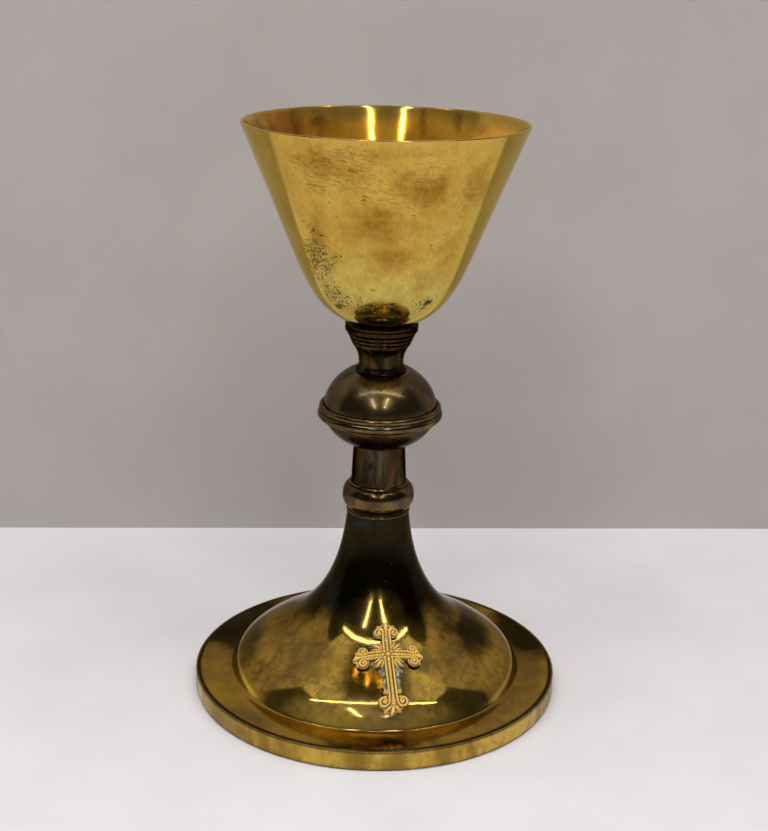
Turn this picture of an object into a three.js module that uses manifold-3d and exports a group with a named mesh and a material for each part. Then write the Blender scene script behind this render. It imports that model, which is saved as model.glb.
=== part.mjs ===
// An altar chalice: a spun foot, a stem with a knop, and a cup that unscrews.
// Millimetres, +Z up, the chalice's axis on Z and the table at Z = 0.
// The front, where the cross is, faces -Y.
import * as THREE from 'three';
import { mergeVertices } from 'three/addons/utils/BufferGeometryUtils.js';
import Module from 'manifold-3d';

const wasm = await Module();
wasm.setup();

// Clearances
const fit = 0.3; // between a piece and the one that it turns in, slides in or stands in
const layerGap = 0.15; // between the layers that are soldered on the foot

// Foot: a turned rim band and a spun shell that stands on its ledge
const footRadius = 66;
const footHeight = 67.4;
const footSheet = 1.1;
const rimHeight = 7;
const rimWall = 1.8;
const rimEdge = 0.6; // the round of the band's outer edges
const ledgeReach = 3.4; // how far the ledge comes in from the band's outside
const lipWidth = 0.7; // the lip that is burnished over the shell's edge
const flangeLand = 4; // the flat part of the shell that lies on the ledge
const coveReach = 3.5; // the shallow channel at the foot of the dome
const coveDepth = 0.5;
const coveRise = 0.4; // share of the channel's depth that is left beside the dome
const flangeWidth = 14.5; // from the foot's edge in to the dome
const domeRadius = footRadius - flangeWidth;
const domeSide = 1.9; // the upright side of the dome, above the flange
const domeRound = 1.9; // how far the upright side goes on before it turns in
const shoulderInset = 17.2; // from the dome's edge in to where it changes from full to hollow
const shoulderRadius = domeRadius - shoulderInset;
const shoulderHeight = 23.5;
const shoulderSlope = THREE.MathUtils.degToRad(29.5);
const shoulderFullness = 1.27; // pull of the curve below the shoulder, as a share of that inset
const flareFullness = 1.09; // pull of the curve above it, as a share of the width up to the throat
const throatRadius = 11;
const throatLean = THREE.MathUtils.degToRad(12);
const throatPull = 4;

// Bead ring between the foot and the stem
const beadRingHeight = 11.2;
const beadRingRadius = 12.85;
const beadRingEnd = 10.3;
const beadHeight = 8.8; // the round bead's own height
const beadTurn = 84; // degrees that the bead goes on above and below its widest place
const beadRingLip = 0.7; // the small lip that stands on the foot
const spigotLength = 3; // the ring's spigots in the foot and in the stem

// Stem
const stemHeight = 14;
const stemTopRadius = 9.2;
const stemFootRadius = 9.85;
const stemWall = 1.2;

// Knop: two spun shells, a double-bead band over their joint and a spacer between them
const knopRadius = 20;
const knopLowerHeight = 12.7;
const knopUpperHeight = 14.2;
const knopTopRadius = 10.9;
const knopLand = 0.3; // how far the knop's underside stands out from the stem
const knopSheet = 1.2;
const coreRadius = 6;
const upperBead = 1.25; // bead radii of the band
const lowerBead = 1.75;
const beadProud = 0.25; // how far the bead centres lie outside the knop
const grooveDepth = 0.55; // how deep the beads' joint is cut
const bandEdgeTurn = 64; // degrees from a bead's widest place to the band's edge
const upperBeadTurn = 34; // and to the joint between the beads
const lowerBeadTurn = 52;
const bandFlat = 0.9; // the band's flat edges, in bead radii from the beads' middles

// Neck
const neckHeight = 14;
const neckFootRadius = 8.9;
const neckFootHeight = 0.7;
const waistFootRadius = 8.1;
const waistRadius = 7.8;
const waistHeight = 3;
const waistPull = 1; // pulls of the neck's curve below the waist
const neckFlarePull = 2.5; // and above it
const reedCount = 3;
const reedHeight = 1.5;
const topReedRadius = 11.7;
const reedStep = 0.65; // each reed's radius is this much less than that of the one above it
const reedRound = 0.45;

// Cup, its seat ring and its stud
const rimRadius = 48.5;
const bowlHeight = 68.8;
const bowlWall = 1;
const coneFootRadius = 30; // where the straight side ends and the round bottom starts
const coneFootHeight = 23.5;
const bottomPull = 20; // pull of the bottom's curve at the straight side
const seatPull = 8; // and at the flat seat
const seatSlope = THREE.MathUtils.degToRad(22);
const bowlSeatRadius = 9;
const seatRingRadius = 12.7;
const seatRingThickness = 2.8;
const seatRingDish = 0.7; // how much lower the ring's top is at its bore
const studFlangeThickness = 2.4;
const studReach = 5.4; // how deep the stud goes into the coupling

// Tie rod with its coupling, washer and nut
const threadRadius = 3;
const couplingFlats = 10;
const couplingLength = 11.4;
const rodReach = 5.4; // how deep the rod goes into the coupling
const washerRadius = 14;
const washerSheet = 1.5;
const washerDish = 2;
const washerLand = 8.6;
const nutFlats = 10;
const nutHeight = 5;
const nutChamfer = 0.6;
const rodTail = 3; // what shows of the rod below the nut

// Budded cross on the front of the foot
const crossAzimuth = THREE.MathUtils.degToRad(8.1); // from -Y towards +X
const crossInset = 19.1; // from the dome's edge in to the rosette
const crossRadius = domeRadius - crossInset;
const crossTilt = THREE.MathUtils.degToRad(37.3);
const crossSolder = 0.3; // thickness of the solder
const crossPlate = 1.3; // thickness of the cast plate
const crossRelief = 0.6; // what stands on the plate
const topArm = 11.6;
const sideArm = 12.45;
const footArm = 23.3;
const armHalfWidth = 1.4;
const ribHalfWidth = 0.85;
const budRadius = 1.75;
const budSpread = 2.5;
const budSetback = 3.6; // from an arm's tip to its buds
const lowBudSpread = 3.6; // the lower arm's buds are wider apart
const lowBudSetback = 4.7;
const tipHalfWidth = 1.6;
const budBoss = 0.55; // a bud's boss, as a share of the bud
const rosetteRadius = 2.5;
const rosetteBoss = 0.75; // the rosette's boss, as a share of the rosette
const leafLength = 5.9;
const leafHalfWidth = 1.15;
const leafWidest = 0.6; // where a leaf is widest, as a share of its length
const leafTurn = 45; // degrees from an arm to the leaf beside it
const cutDepth = 13; // how deep the cross's outline is cut through the dome's layers
const solderRadius = 6.2;
const solderStrip = 2.7; // half width of the solder along the lower arm
const solderStripLength = 13.5;

// Number of sides of the large, middle and small round pieces
const wideSides = 48;
const stemSides = 32;
const rodSides = 24;

// Levels up the axis
const stemFoot = footHeight + beadRingHeight;
const stemTop = stemFoot + stemHeight;
const knopMiddle = stemTop + knopLowerHeight;
const knopTop = knopMiddle + knopUpperHeight;
const neckTop = knopTop + neckHeight;
const seatLevel = neckTop + fit;
const bowlFoot = seatLevel + studFlangeThickness;
const bowlRim = bowlFoot + bowlHeight;
const couplingTop = neckTop - fit;
const couplingFoot = couplingTop - couplingLength;
const rodTop = couplingFoot + rodReach;
const studFoot = couplingTop - studReach;

// Radii that follow from a fit
const rodHole = threadRadius + fit;
const studFlangeRadius = bowlSeatRadius - fit;
const flangeRadius = footRadius - lipWidth - fit;

const group = new THREE.Group();

function point(r, z) {
  return new THREE.Vector2(r, z);
}

// A smooth stretch of an outline from one point to another, leaving and arriving by the two pulls
function curve(start, startPull, endPull, end, steps) {
  const bend = new THREE.CubicBezierCurve(
    start, start.clone().add(startPull), end.clone().add(endPull), end);
  return bend.getPoints(steps);
}

// Points on an ellipse about (r, z), from one angle to another, in degrees from the +R direction
function arc(r, z, halfWidth, halfHeight, from, to, steps) {
  return Array.from({ length: steps + 1 }, (_, i) => {
    const angle = THREE.MathUtils.degToRad(from + (to - from) * i / steps);
    return point(r + halfWidth * Math.cos(angle), z + halfHeight * Math.sin(angle));
  });
}

// The line at a distance to the left of an outline, joint by joint
function offsetLine(line, distance) {
  return line.map((p, i) => {
    const before = line[Math.max(i - 1, 0)];
    const after = line[Math.min(i + 1, line.length - 1)];
    const a = p.clone().sub(i ? before : after).multiplyScalar(i ? 1 : -1).normalize();
    const b = after.clone().sub(i < line.length - 1 ? p : before).normalize();
    const middle = a.add(b).normalize();
    const spread = Math.max(middle.dot(b), 0.5);
    return point(p.x - middle.y * distance / spread, p.y + middle.x * distance / spread);
  });
}

// Where an outline crosses a radius, coming from its start
function heightAt(line, radius) {
  const i = line.findIndex((p, k) => k && (p.x - radius) * (line[k - 1].x - radius) <= 0);
  const [a, b] = [line[i - 1], line[i]];
  return a.y + (b.y - a.y) * (radius - a.x) / (b.x - a.x);
}

function merged(geometry) {
  const bare = new THREE.BufferGeometry();
  bare.setAttribute('position', geometry.getAttribute('position').clone());
  if (geometry.index) bare.setIndex(geometry.index.clone());
  const joined = mergeVertices(bare, 1e-4);
  const corners = [];
  const index = joined.index.array;
  for (let i = 0; i < index.length; i += 3) {
    const [a, b, c] = [index[i], index[i + 1], index[i + 2]];
    if (a !== b && b !== c && c !== a) corners.push(a, b, c);
  }
  joined.setIndex(corners);
  return facingOut(joined);
}

function signedVolume(geometry) {
  const at = geometry.getAttribute('position');
  const [a, b, c] = [new THREE.Vector3(), new THREE.Vector3(), new THREE.Vector3()];
  let sum = 0;
  for (let i = 0; i < geometry.index.count; i += 3) {
    a.fromBufferAttribute(at, geometry.index.getX(i));
    b.fromBufferAttribute(at, geometry.index.getX(i + 1));
    c.fromBufferAttribute(at, geometry.index.getX(i + 2));
    sum += a.dot(b.cross(c)) / 6;
  }
  return sum;
}

function facingOut(geometry) {
  if (signedVolume(geometry) < 0) {
    const index = geometry.index.array;
    for (let i = 0; i < index.length; i += 3) {
      [index[i + 1], index[i + 2]] = [index[i + 2], index[i + 1]];
    }
  }
  return geometry;
}

// A body of revolution about Z from a closed outline of (radius, height) points
function turned(outline, sides) {
  const lathe = new THREE.LatheGeometry([...outline, outline[0]], sides);
  return merged(lathe.rotateX(Math.PI / 2));
}

// An upright bar between two levels, round or with as many sides as asked
function bar(radius, bottom, top, sides) {
  const shape = new THREE.CylinderGeometry(radius, radius, top - bottom, sides);
  return merged(shape.rotateX(Math.PI / 2).translate(0, 0, (bottom + top) / 2));
}

function solid(geometry) {
  const vertProperties = new Float32Array(geometry.getAttribute('position').array);
  const triVerts = new Uint32Array(geometry.index.array);
  return new wasm.Manifold(new wasm.Mesh({ numProp: 3, vertProperties, triVerts }));
}

function surface(body) {
  const mesh = body.getMesh();
  const geometry = new THREE.BufferGeometry();
  geometry.setAttribute('position', new THREE.BufferAttribute(mesh.vertProperties, 3));
  geometry.setIndex(new THREE.BufferAttribute(mesh.triVerts, 1));
  return geometry;
}

function together(bodies) {
  return bodies.reduce((whole, body) => whole.add(body));
}

function piece(name, geometry, finish) {
  geometry.computeVertexNormals();
  const mesh = new THREE.Mesh(geometry, new THREE.MeshStandardMaterial(finish));
  mesh.name = name;
  group.add(mesh);
}

const gilt = { color: 0xc9a646, roughness: 0.25, metalness: 1 };
const agedBrass = { color: 0x6e5524, roughness: 0.35, metalness: 1 };
const darkBrass = { color: 0x4a3b1e, roughness: 0.4, metalness: 1 };
const rimBrass = { color: 0xa8893f, roughness: 0.45, metalness: 1 };
const castGilt = { color: 0xc99a4a, roughness: 0.4, metalness: 1 };
const solderGrey = { color: 0x8c8f88, roughness: 0.6, metalness: 0.6 };
const rawBrass = { color: 0xa88a45, roughness: 0.45, metalness: 1 };
const steel = { color: 0x8d8f92, roughness: 0.4, metalness: 1 };

// The flat seats of a hexagonal piece are this far from its corners
function cornerRadius(flats) {
  return flats / 2 / Math.cos(Math.PI / 6);
}

// The dome and flare of the foot, from the dome's lower edge up to the throat
function domeLine() {
  const edge = point(domeRadius, rimHeight + domeSide);
  const shoulder = point(shoulderRadius, shoulderHeight);
  const throat = point(throatRadius, footHeight);
  const along = point(Math.cos(shoulderSlope), -Math.sin(shoulderSlope));
  const down = point(Math.sin(throatLean), -Math.cos(throatLean));
  const below = along.clone().multiplyScalar(shoulderFullness * shoulderInset);
  const above = along.clone().multiplyScalar(-flareFullness * (shoulderRadius - throatRadius));
  const dome = curve(edge, point(0, domeRound), below, shoulder, 7);
  const flare = curve(shoulder, above, down.multiplyScalar(throatPull), throat, 6);
  return [...dome, ...flare.slice(1)];
}

// The whole upper side of the foot's shell, from the flange's edge up to the throat
function footLine() {
  const coveFoot = domeRadius + coveReach;
  return [
    point(flangeRadius, rimHeight),
    point(flangeRadius - flangeLand, rimHeight),
    point(coveFoot, rimHeight),
    point((coveFoot + domeRadius) / 2, rimHeight - coveDepth),
    point(domeRadius + coveDepth, rimHeight - coveDepth * coveRise),
    ...domeLine(),
  ];
}

function footShell() {
  const outside = footLine();
  const inside = offsetLine(outside, footSheet);
  inside[0] = point(flangeRadius, rimHeight - footSheet);
  inside[inside.length - 1] = point(throatRadius - footSheet, footHeight);
  return turned([...outside, ...inside.reverse()], wideSides);
}

function footRimBand() {
  const ledge = rimHeight - footSheet;
  const inner = footRadius - rimWall;
  const reach = footRadius - ledgeReach;
  return turned([
    point(inner, 0),
    point(footRadius - rimEdge, 0),
    point(footRadius, rimEdge),
    point(footRadius, rimHeight - rimEdge / 2),
    point(footRadius - rimEdge / 2, rimHeight),
    point(footRadius - lipWidth, rimHeight),
    point(footRadius - lipWidth, ledge),
    point(reach, ledge),
    point(reach, ledge - rimEdge),
    point(inner, ledge - rimEdge - (ledgeReach - rimWall)),
  ], wideSides);
}

function stemBeadRing() {
  const middle = footHeight + (beadRingHeight + beadRingLip) / 2;
  const lower = throatRadius - footSheet - fit;
  const upper = stemFootRadius - stemWall - fit;
  const halfWidth = beadRingRadius - beadRingEnd;
  return turned([
    point(rodHole, footHeight - spigotLength),
    point(lower, footHeight - spigotLength),
    point(lower, footHeight),
    point(throatRadius + beadRingLip / 2, footHeight),
    point(throatRadius + beadRingLip, footHeight + beadRingLip / 2),
    point(throatRadius + beadRingLip / 2, footHeight + beadRingLip),
    ...arc(beadRingEnd, middle, halfWidth, beadHeight / 2, -beadTurn, beadTurn, 7),
    point(beadRingEnd, stemFoot),
    point(upper, stemFoot),
    point(upper, stemFoot + spigotLength),
    point(rodHole, stemFoot + spigotLength),
  ], stemSides);
}

function stemTube() {
  return turned([
    point(stemFootRadius - stemWall, stemFoot),
    point(stemFootRadius, stemFoot),
    point(stemTopRadius, stemTop),
    point(stemTopRadius - stemWall, stemTop),
  ], stemSides);
}

// Half a knop's outside: the quarter ellipse from the middle to a flat end of a given radius
function knopLine(endRadius, height, steps) {
  const halfHeight = height / Math.sqrt(1 - (endRadius / knopRadius) ** 2);
  const end = THREE.MathUtils.radToDeg(Math.asin(height / halfHeight));
  return arc(0, 0, knopRadius, halfHeight, 0, end, steps);
}

// A shell with its flat end pierced for the rod; direction is 1 for the upper one, -1 for the lower
function knopShell(endRadius, height, direction) {
  const outside = knopLine(endRadius, height, 6);
  const inside = offsetLine(outside, knopSheet);
  const end = inside[inside.length - 1];
  inside[0] = point(knopRadius - knopSheet, 0);
  end.set(end.x, height - knopSheet);
  const half = [
    ...outside,
    point(rodHole, height),
    point(rodHole, height - knopSheet),
    ...inside.reverse(),
  ];
  return turned(half.map((p) => point(p.x, knopMiddle + direction * p.y)), stemSides);
}

// The band: a small bead over a thick one, bored to the knop's own curve
function knopBand() {
  const centre = knopRadius + beadProud;
  const split = upperBead - grooveDepth;
  const upper = knopMiddle + split + grooveDepth / 2;
  const lower = knopMiddle - lowerBead + grooveDepth / 2;
  const top = upper + upperBead * bandFlat;
  const bottom = lower - lowerBead * bandFlat;
  const bore = (z, endRadius, height) => {
    const halfHeight = height / Math.sqrt(1 - (endRadius / knopRadius) ** 2);
    return knopRadius * Math.sqrt(1 - ((z - knopMiddle) / halfHeight) ** 2) + fit;
  };
  return turned([
    point(bore(bottom, stemTopRadius + knopLand, knopLowerHeight), bottom),
    ...arc(centre, lower, lowerBead, lowerBead, -bandEdgeTurn, lowerBeadTurn, 6),
    ...arc(centre, upper, upperBead, upperBead, -upperBeadTurn, bandEdgeTurn, 5),
    point(bore(top, knopTopRadius, knopUpperHeight), top),
    point(knopRadius + fit, knopMiddle),
  ], stemSides);
}

function knopCore() {
  return turned([
    point(rodHole, stemTop + knopSheet),
    point(coreRadius, stemTop + knopSheet),
    point(coreRadius, knopTop - knopSheet),
    point(rodHole, knopTop - knopSheet),
  ], rodSides);
}

// The reeds from the lowest to the top one, each a round step with a groove under it
function reedLine() {
  const line = [];
  for (let i = 0; i < reedCount; i++) {
    const radius = topReedRadius - reedStep * (reedCount - 1 - i);
    const foot = neckTop - reedHeight * (reedCount - i);
    line.push(
      point(radius - reedRound, foot),
      point(radius, foot + reedRound),
      point(radius, foot + reedHeight - reedRound),
      point(radius - reedRound / 2, foot + reedHeight));
  }
  return line;
}

// The neck with a rod hole below and a hexagonal socket above, which keeps the coupling from turning
function upperNeck() {
  const waist = point(waistRadius, knopTop + waistHeight);
  const foot = point(waistFootRadius, knopTop + neckFootHeight);
  const reeds = reedLine();
  const flare = point(reeds[0].x - reedRound, reeds[0].y - reedRound);
  const lean = point(-neckFlarePull * Math.SQRT1_2, -neckFlarePull * Math.SQRT1_2);
  const outline = [
    point(rodHole, knopTop),
    point(neckFootRadius, knopTop),
    point(neckFootRadius, knopTop + neckFootHeight / 2),
    ...curve(foot, point(0, waistPull / 2), point(0, -waistPull), waist, 2),
    ...curve(waist, point(0, neckFlarePull), lean, flare, 5).slice(1),
    ...reeds,
    point(rodHole, neckTop),
  ];
  const socket = bar(cornerRadius(couplingFlats) + fit, couplingFoot, neckTop + 1, 6);
  return surface(solid(turned(outline, stemSides)).subtract(solid(socket)));
}

function rodCoupling() {
  const hexagon = bar(cornerRadius(couplingFlats), couplingFoot, couplingTop, 6);
  const bore = bar(rodHole, couplingFoot - 1, couplingTop + 1, rodSides);
  return surface(solid(hexagon).subtract(solid(bore)));
}

function cupSeatRing() {
  const top = seatLevel + seatRingThickness;
  const edge = rimEdge / 2;
  return turned([
    point(bowlSeatRadius, seatLevel),
    point(seatRingRadius - edge, seatLevel),
    point(seatRingRadius, seatLevel + edge),
    point(seatRingRadius, top - edge),
    point(seatRingRadius - edge, top),
    point(bowlSeatRadius, top - seatRingDish),
  ], stemSides);
}

function bowlStud() {
  return turned([
    point(0, studFoot),
    point(threadRadius, studFoot),
    point(threadRadius, seatLevel),
    point(studFlangeRadius, seatLevel),
    point(studFlangeRadius, bowlFoot),
    point(0, bowlFoot),
  ], rodSides);
}

// The outside of the bowl, from the flat seat up to the rim
function bowlLine() {
  const seat = point(bowlSeatRadius, bowlFoot);
  const cone = point(coneFootRadius, bowlFoot + coneFootHeight);
  const rim = point(rimRadius, bowlRim);
  const side = rim.clone().sub(cone).normalize();
  const out = point(Math.cos(seatSlope), Math.sin(seatSlope));
  const bottom = curve(
    seat, out.multiplyScalar(seatPull), side.multiplyScalar(-bottomPull), cone, 9);
  return [...bottom, rim];
}

function bowl() {
  const outside = bowlLine();
  const inside = offsetLine(outside, bowlWall);
  inside[0] = point(bowlSeatRadius, bowlFoot + bowlWall);
  inside[inside.length - 1].setY(bowlRim);
  return turned([
    point(0, bowlFoot),
    ...outside,
    ...inside.reverse(),
    point(0, bowlFoot + bowlWall),
  ], wideSides);
}

// The washer's rim meets the inside of the flare where the flare is just wide enough
function washerTop() {
  return heightAt(offsetLine(footLine(), footSheet), washerRadius + fit);
}

function clampWasher() {
  const top = washerTop();
  return turned([
    point(rodHole, top - washerDish - washerSheet),
    point(washerLand, top - washerDish - washerSheet),
    point(washerRadius, top - washerSheet),
    point(washerRadius, top),
    point(washerLand, top - washerDish),
    point(rodHole, top - washerDish),
  ], stemSides);
}

function nutTop() {
  return washerTop() - washerDish - washerSheet - fit;
}

// A hexagon whose corners are turned off by a cone at both ends
function lockNut() {
  const [top, bottom] = [nutTop(), nutTop() - nutHeight];
  const corner = cornerRadius(nutFlats);
  const chamfered = turned([
    point(0, bottom),
    point(corner - nutChamfer, bottom),
    point(corner, bottom + nutChamfer / 2),
    point(corner, top - nutChamfer / 2),
    point(corner - nutChamfer, top),
    point(0, top),
  ], rodSides);
  const hexagon = bar(corner, bottom - 1, top + 1, 6);
  const bore = bar(rodHole, bottom - 1, top + 1, rodSides);
  return surface(solid(chamfered).intersect(solid(hexagon)).subtract(solid(bore)));
}

function tieRod() {
  return bar(threadRadius, nutTop() - nutHeight - rodTail, rodTop, rodSides);
}

// A flat outline in the cross's own plane, made a prism that passes through the dome's surface
function prism(outline) {
  const shape = new THREE.Shape(outline);
  const block = new THREE.ExtrudeGeometry(shape, { depth: cutDepth, bevelEnabled: false });
  block.translate(0, 0, -cutDepth / 2);
  block.rotateX(crossTilt);
  block.translate(0, -crossRadius, heightAt(domeLine(), crossRadius));
  block.rotateZ(crossAzimuth);
  return solid(merged(block));
}

function disc(x, y, radius, sides) {
  return arc(x, y, radius, radius, 0, 360, sides).slice(0, sides);
}

// Turns an outline that is drawn along +X towards an angle in degrees
function towards(angle, outline) {
  const turn = THREE.MathUtils.degToRad(angle);
  return outline.map((p) => p.clone().rotateAround(point(0, 0), turn));
}

const crossArms = [
  { angle: 90, length: topArm, spread: budSpread, setback: budSetback },
  { angle: 0, length: sideArm, spread: budSpread, setback: budSetback },
  { angle: 180, length: sideArm, spread: budSpread, setback: budSetback },
  { angle: 270, length: footArm, spread: lowBudSpread, setback: lowBudSetback },
];

// One arm of the plate: a bar that widens to two buds and a pointed tip
function armPlate({ angle, length, spread, setback }) {
  const bud = length - setback;
  const outline = [
    point(0, -armHalfWidth),
    point(bud - spread, -armHalfWidth),
    point(bud, -spread),
    point(bud + budRadius, -tipHalfWidth),
    point(length, 0),
    point(bud + budRadius, tipHalfWidth),
    point(bud, spread),
    point(bud - spread, armHalfWidth),
    point(0, armHalfWidth),
  ];
  return [
    prism(towards(angle, outline)),
    prism(towards(angle, disc(bud, spread, budRadius, 8))),
    prism(towards(angle, disc(bud, -spread, budRadius, 8))),
  ];
}

// What stands up on an arm: its rib, a boss on each bud and the tip's point
function armRelief({ angle, length, spread, setback }) {
  const bud = length - setback;
  const boss = budRadius * budBoss;
  const rib = [
    point(0, -ribHalfWidth),
    point(bud, -ribHalfWidth),
    point(length - ribHalfWidth, 0),
    point(bud, ribHalfWidth),
    point(0, ribHalfWidth),
  ];
  return [
    prism(towards(angle, rib)),
    prism(towards(angle, disc(bud, spread, boss, 6))),
    prism(towards(angle, disc(bud, -spread, boss, 6))),
  ];
}

function leaf(angle) {
  const outline = [
    point(0, 0),
    point(leafLength * leafWidest, -leafHalfWidth),
    point(leafLength, 0),
    point(leafLength * leafWidest, leafHalfWidth),
  ];
  return prism(towards(angle, outline));
}

// A layer that follows the dome between two heights above its surface
function domeLayer(from, to) {
  const line = domeLine();
  const ring = [...offsetLine(line, -to), ...offsetLine(line, -from).reverse()];
  return solid(turned(ring, wideSides));
}

const solderTop = layerGap + crossSolder;
const plateFoot = solderTop + layerGap;
const plateTop = plateFoot + crossPlate;

function cross() {
  const leaves = crossArms.map(({ angle }) => leaf(angle + leafTurn));
  const rosette = prism(disc(0, 0, rosetteRadius, 8));
  const plate = together([...crossArms.flatMap(armPlate), ...leaves, rosette]);
  const relief = together([
    ...crossArms.flatMap(armRelief),
    prism(disc(0, 0, rosetteRadius * rosetteBoss, 8)),
  ]);
  const low = plate.intersect(domeLayer(plateFoot, plateTop));
  const high = relief.intersect(domeLayer(plateFoot, plateTop + crossRelief));
  return surface(low.add(high));
}

// Solder that ran out between the arms and down both sides of the lower one
function crossSolderPad() {
  const strip = [
    point(-solderStrip, 0),
    point(-solderStrip, -solderStripLength),
    point(solderStrip, -solderStripLength),
    point(solderStrip, 0),
  ];
  const outline = together([prism(disc(0, 0, solderRadius, 16)), prism(strip)]);
  return surface(outline.intersect(domeLayer(layerGap, solderTop)));
}

piece('foot_shell', footShell(), agedBrass);
piece('foot_rim_band', footRimBand(), rimBrass);
piece('cross', cross(), castGilt);
piece('cross_solder', crossSolderPad(), solderGrey);
piece('stem_bead_ring', stemBeadRing(), agedBrass);
piece('stem_tube', stemTube(), darkBrass);
piece('knop_lower_shell', knopShell(stemTopRadius + knopLand, knopLowerHeight, -1), agedBrass);
piece('knop_upper_shell', knopShell(knopTopRadius, knopUpperHeight, 1), agedBrass);
piece('knop_band', knopBand(), agedBrass);
piece('knop_core', knopCore(), rawBrass);
piece('upper_neck', upperNeck(), darkBrass);
piece('rod_coupling', rodCoupling(), rawBrass);
piece('tie_rod', tieRod(), steel);
piece('clamp_washer', clampWasher(), rawBrass);
piece('lock_nut', lockNut(), steel);
piece('cup_seat_ring', cupSeatRing(), darkBrass);
piece('bowl_stud', bowlStud(), rawBrass);
piece('bowl', bowl(), gilt);

export default group;
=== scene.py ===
"""A gilt altar chalice, dressed: fine turned pieces, a cast cross, and worn, tarnished metal."""

import math

import bmesh
import bpy
import numpy as np
from mathutils import Matrix, Vector, noise


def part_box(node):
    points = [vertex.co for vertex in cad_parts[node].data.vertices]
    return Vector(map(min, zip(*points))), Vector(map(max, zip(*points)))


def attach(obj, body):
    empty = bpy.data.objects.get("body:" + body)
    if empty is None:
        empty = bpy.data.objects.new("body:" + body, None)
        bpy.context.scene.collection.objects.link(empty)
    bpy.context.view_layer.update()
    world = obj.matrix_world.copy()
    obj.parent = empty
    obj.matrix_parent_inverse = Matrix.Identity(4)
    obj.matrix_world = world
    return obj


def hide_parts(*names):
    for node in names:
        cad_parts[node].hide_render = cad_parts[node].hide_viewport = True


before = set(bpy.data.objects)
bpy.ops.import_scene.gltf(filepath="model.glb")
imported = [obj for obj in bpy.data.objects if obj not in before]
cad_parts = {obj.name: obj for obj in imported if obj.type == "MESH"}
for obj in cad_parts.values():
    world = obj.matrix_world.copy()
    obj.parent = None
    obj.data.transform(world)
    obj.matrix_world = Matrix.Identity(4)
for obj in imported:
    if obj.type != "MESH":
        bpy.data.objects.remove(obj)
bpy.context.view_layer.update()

MM = 0.001

# The chalice's sizes, in millimetres

FIT = 0.3
FOOT_RADIUS = 66
FOOT_HEIGHT = 67.4
FOOT_SHEET = 1.1
RIM_HEIGHT = 7
RIM_WALL = 1.8
LEDGE_REACH = 3.4
LIP_WIDTH = 0.7
DOME_RADIUS = 51.5
DOME_SWELL = 1.2  # the dressed dome ends this much further out than the solid one
DOME_PULL = Vector((-2.44, 6.03))
COVE_REACH = 2.6
COVE_RISE = 0.7
SHOULDER_RADIUS = 34.3
SHOULDER_HEIGHT = 23.5
SHOULDER_SLOPE = math.radians(29.5)
SHOULDER_PULL = 18
FLARE_PULL = 25.4
THROAT_RADIUS = 11
THROAT_LEAN = math.radians(12)
THROAT_PULL = 4

SPIGOT = 3
FOOT_SPIGOT_RADIUS = 9.6
STEM_SPIGOT_RADIUS = 8.35
BEAD_RADIUS = 12.85
BEAD_HALF_WIDTH = 2.55
BEAD_HALF_HEIGHT = 4.4
BEAD_MIDDLE = 73.35
STEM_FOOT = 78.6
STEM_TOP = 92.6
KNOP_RADIUS = 20
KNOP_SHEET = 1.2
KNOP_FOOT_END = 9.5, 12.7  # radius of the flat end, and its distance from the middle
KNOP_TOP_END = 10.9, 14.2
KNOP_MIDDLE = 105.3
KNOP_TOP = 119.5
NECK_TOP = 133.5
REED_RADII = 10.4, 11.05, 11.7
REED_HEIGHT = 1.5
SOCKET_RADIUS = 6.07
SOCKET_FLOOR = 121.8

SEAT_LEVEL = 133.8
SEAT_RADIUS = 12.7
BOWL_FOOT = 136.2
BOWL_SEAT_RADIUS = 9
BOWL_LEAN = math.radians(22)
CONE_RADIUS = 30
CONE_RISE = 23.5
BOWL_RADIUS = 48.5
BOWL_RIM = 205
BOWL_WALL = 1

ROD_HOLE = 3.3
BORE_CHAMFER = 0.35
THREAD_RADIUS = 3
THREAD_PITCH = 1
THREAD_DEPTH = 0.55
CHAMFER = 0.5
STUD_FLANGE_RADIUS = 8.7
NUT_FLATS = 10
NUT_CHAMFER = 0.6

CROSS_AZIMUTH = math.radians(8.1)
CROSS_RADIUS = 32.4
CROSS_TILT = math.radians(37.3)
PLATE_FOOT = 0.6
PLATE_TOP = 1.9

WIDE_SIDES = 256
STEM_SIDES = 160
ROD_SIDES = 48


# Outlines: lists of (radius, height)


def point(r, z):
    return Vector((r, z))


def curve(start, pull, end_pull, end, steps):
    """A smooth stretch of an outline that leaves and arrives by the two pulls."""
    a, b = start + pull, end + end_pull
    line = []
    for i in range(steps + 1):
        t = i / steps
        s = 1 - t
        line.append(s**3 * start + 3 * s * s * t * a + 3 * s * t * t * b + t**3 * end)
    return line


def arc(r, z, half_width, half_height, start, end, steps):
    """Points on an ellipse, from one angle to another in degrees from the outward direction."""
    turns = [math.radians(start + (end - start) * i / steps) for i in range(steps + 1)]
    return [point(r + half_width * math.cos(a), z + half_height * math.sin(a)) for a in turns]


def offset_line(line, distance):
    """The line at a distance to the left of an outline."""
    made = []
    for i, p in enumerate(line):
        before, after = line[max(i - 1, 0)], line[min(i + 1, len(line) - 1)]
        a = (p - before) if i else (after - p)
        b = (after - p) if i < len(line) - 1 else a
        middle = (a.normalized() + b.normalized()).normalized()
        spread = max(middle.dot(b.normalized()), 0.5)
        made.append(p + Vector((-middle.y, middle.x)) * distance / spread)
    return made


def rounded(corners, steps=4):
    """A closed outline whose corners (radius, height, round) are turned off by that round."""
    line = []
    for i, (r, z, size) in enumerate(corners):
        here = point(r, z)
        if not size:
            line.append(here)
            continue
        back = (point(*corners[i - 1][:2]) - here).normalized()
        on = (point(*corners[(i + 1) % len(corners)][:2]) - here).normalized()
        start, end = here + back * size, here + on * size
        line += curve(start, -back * size * 0.55, -on * size * 0.55, end, steps)
    return line


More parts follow.
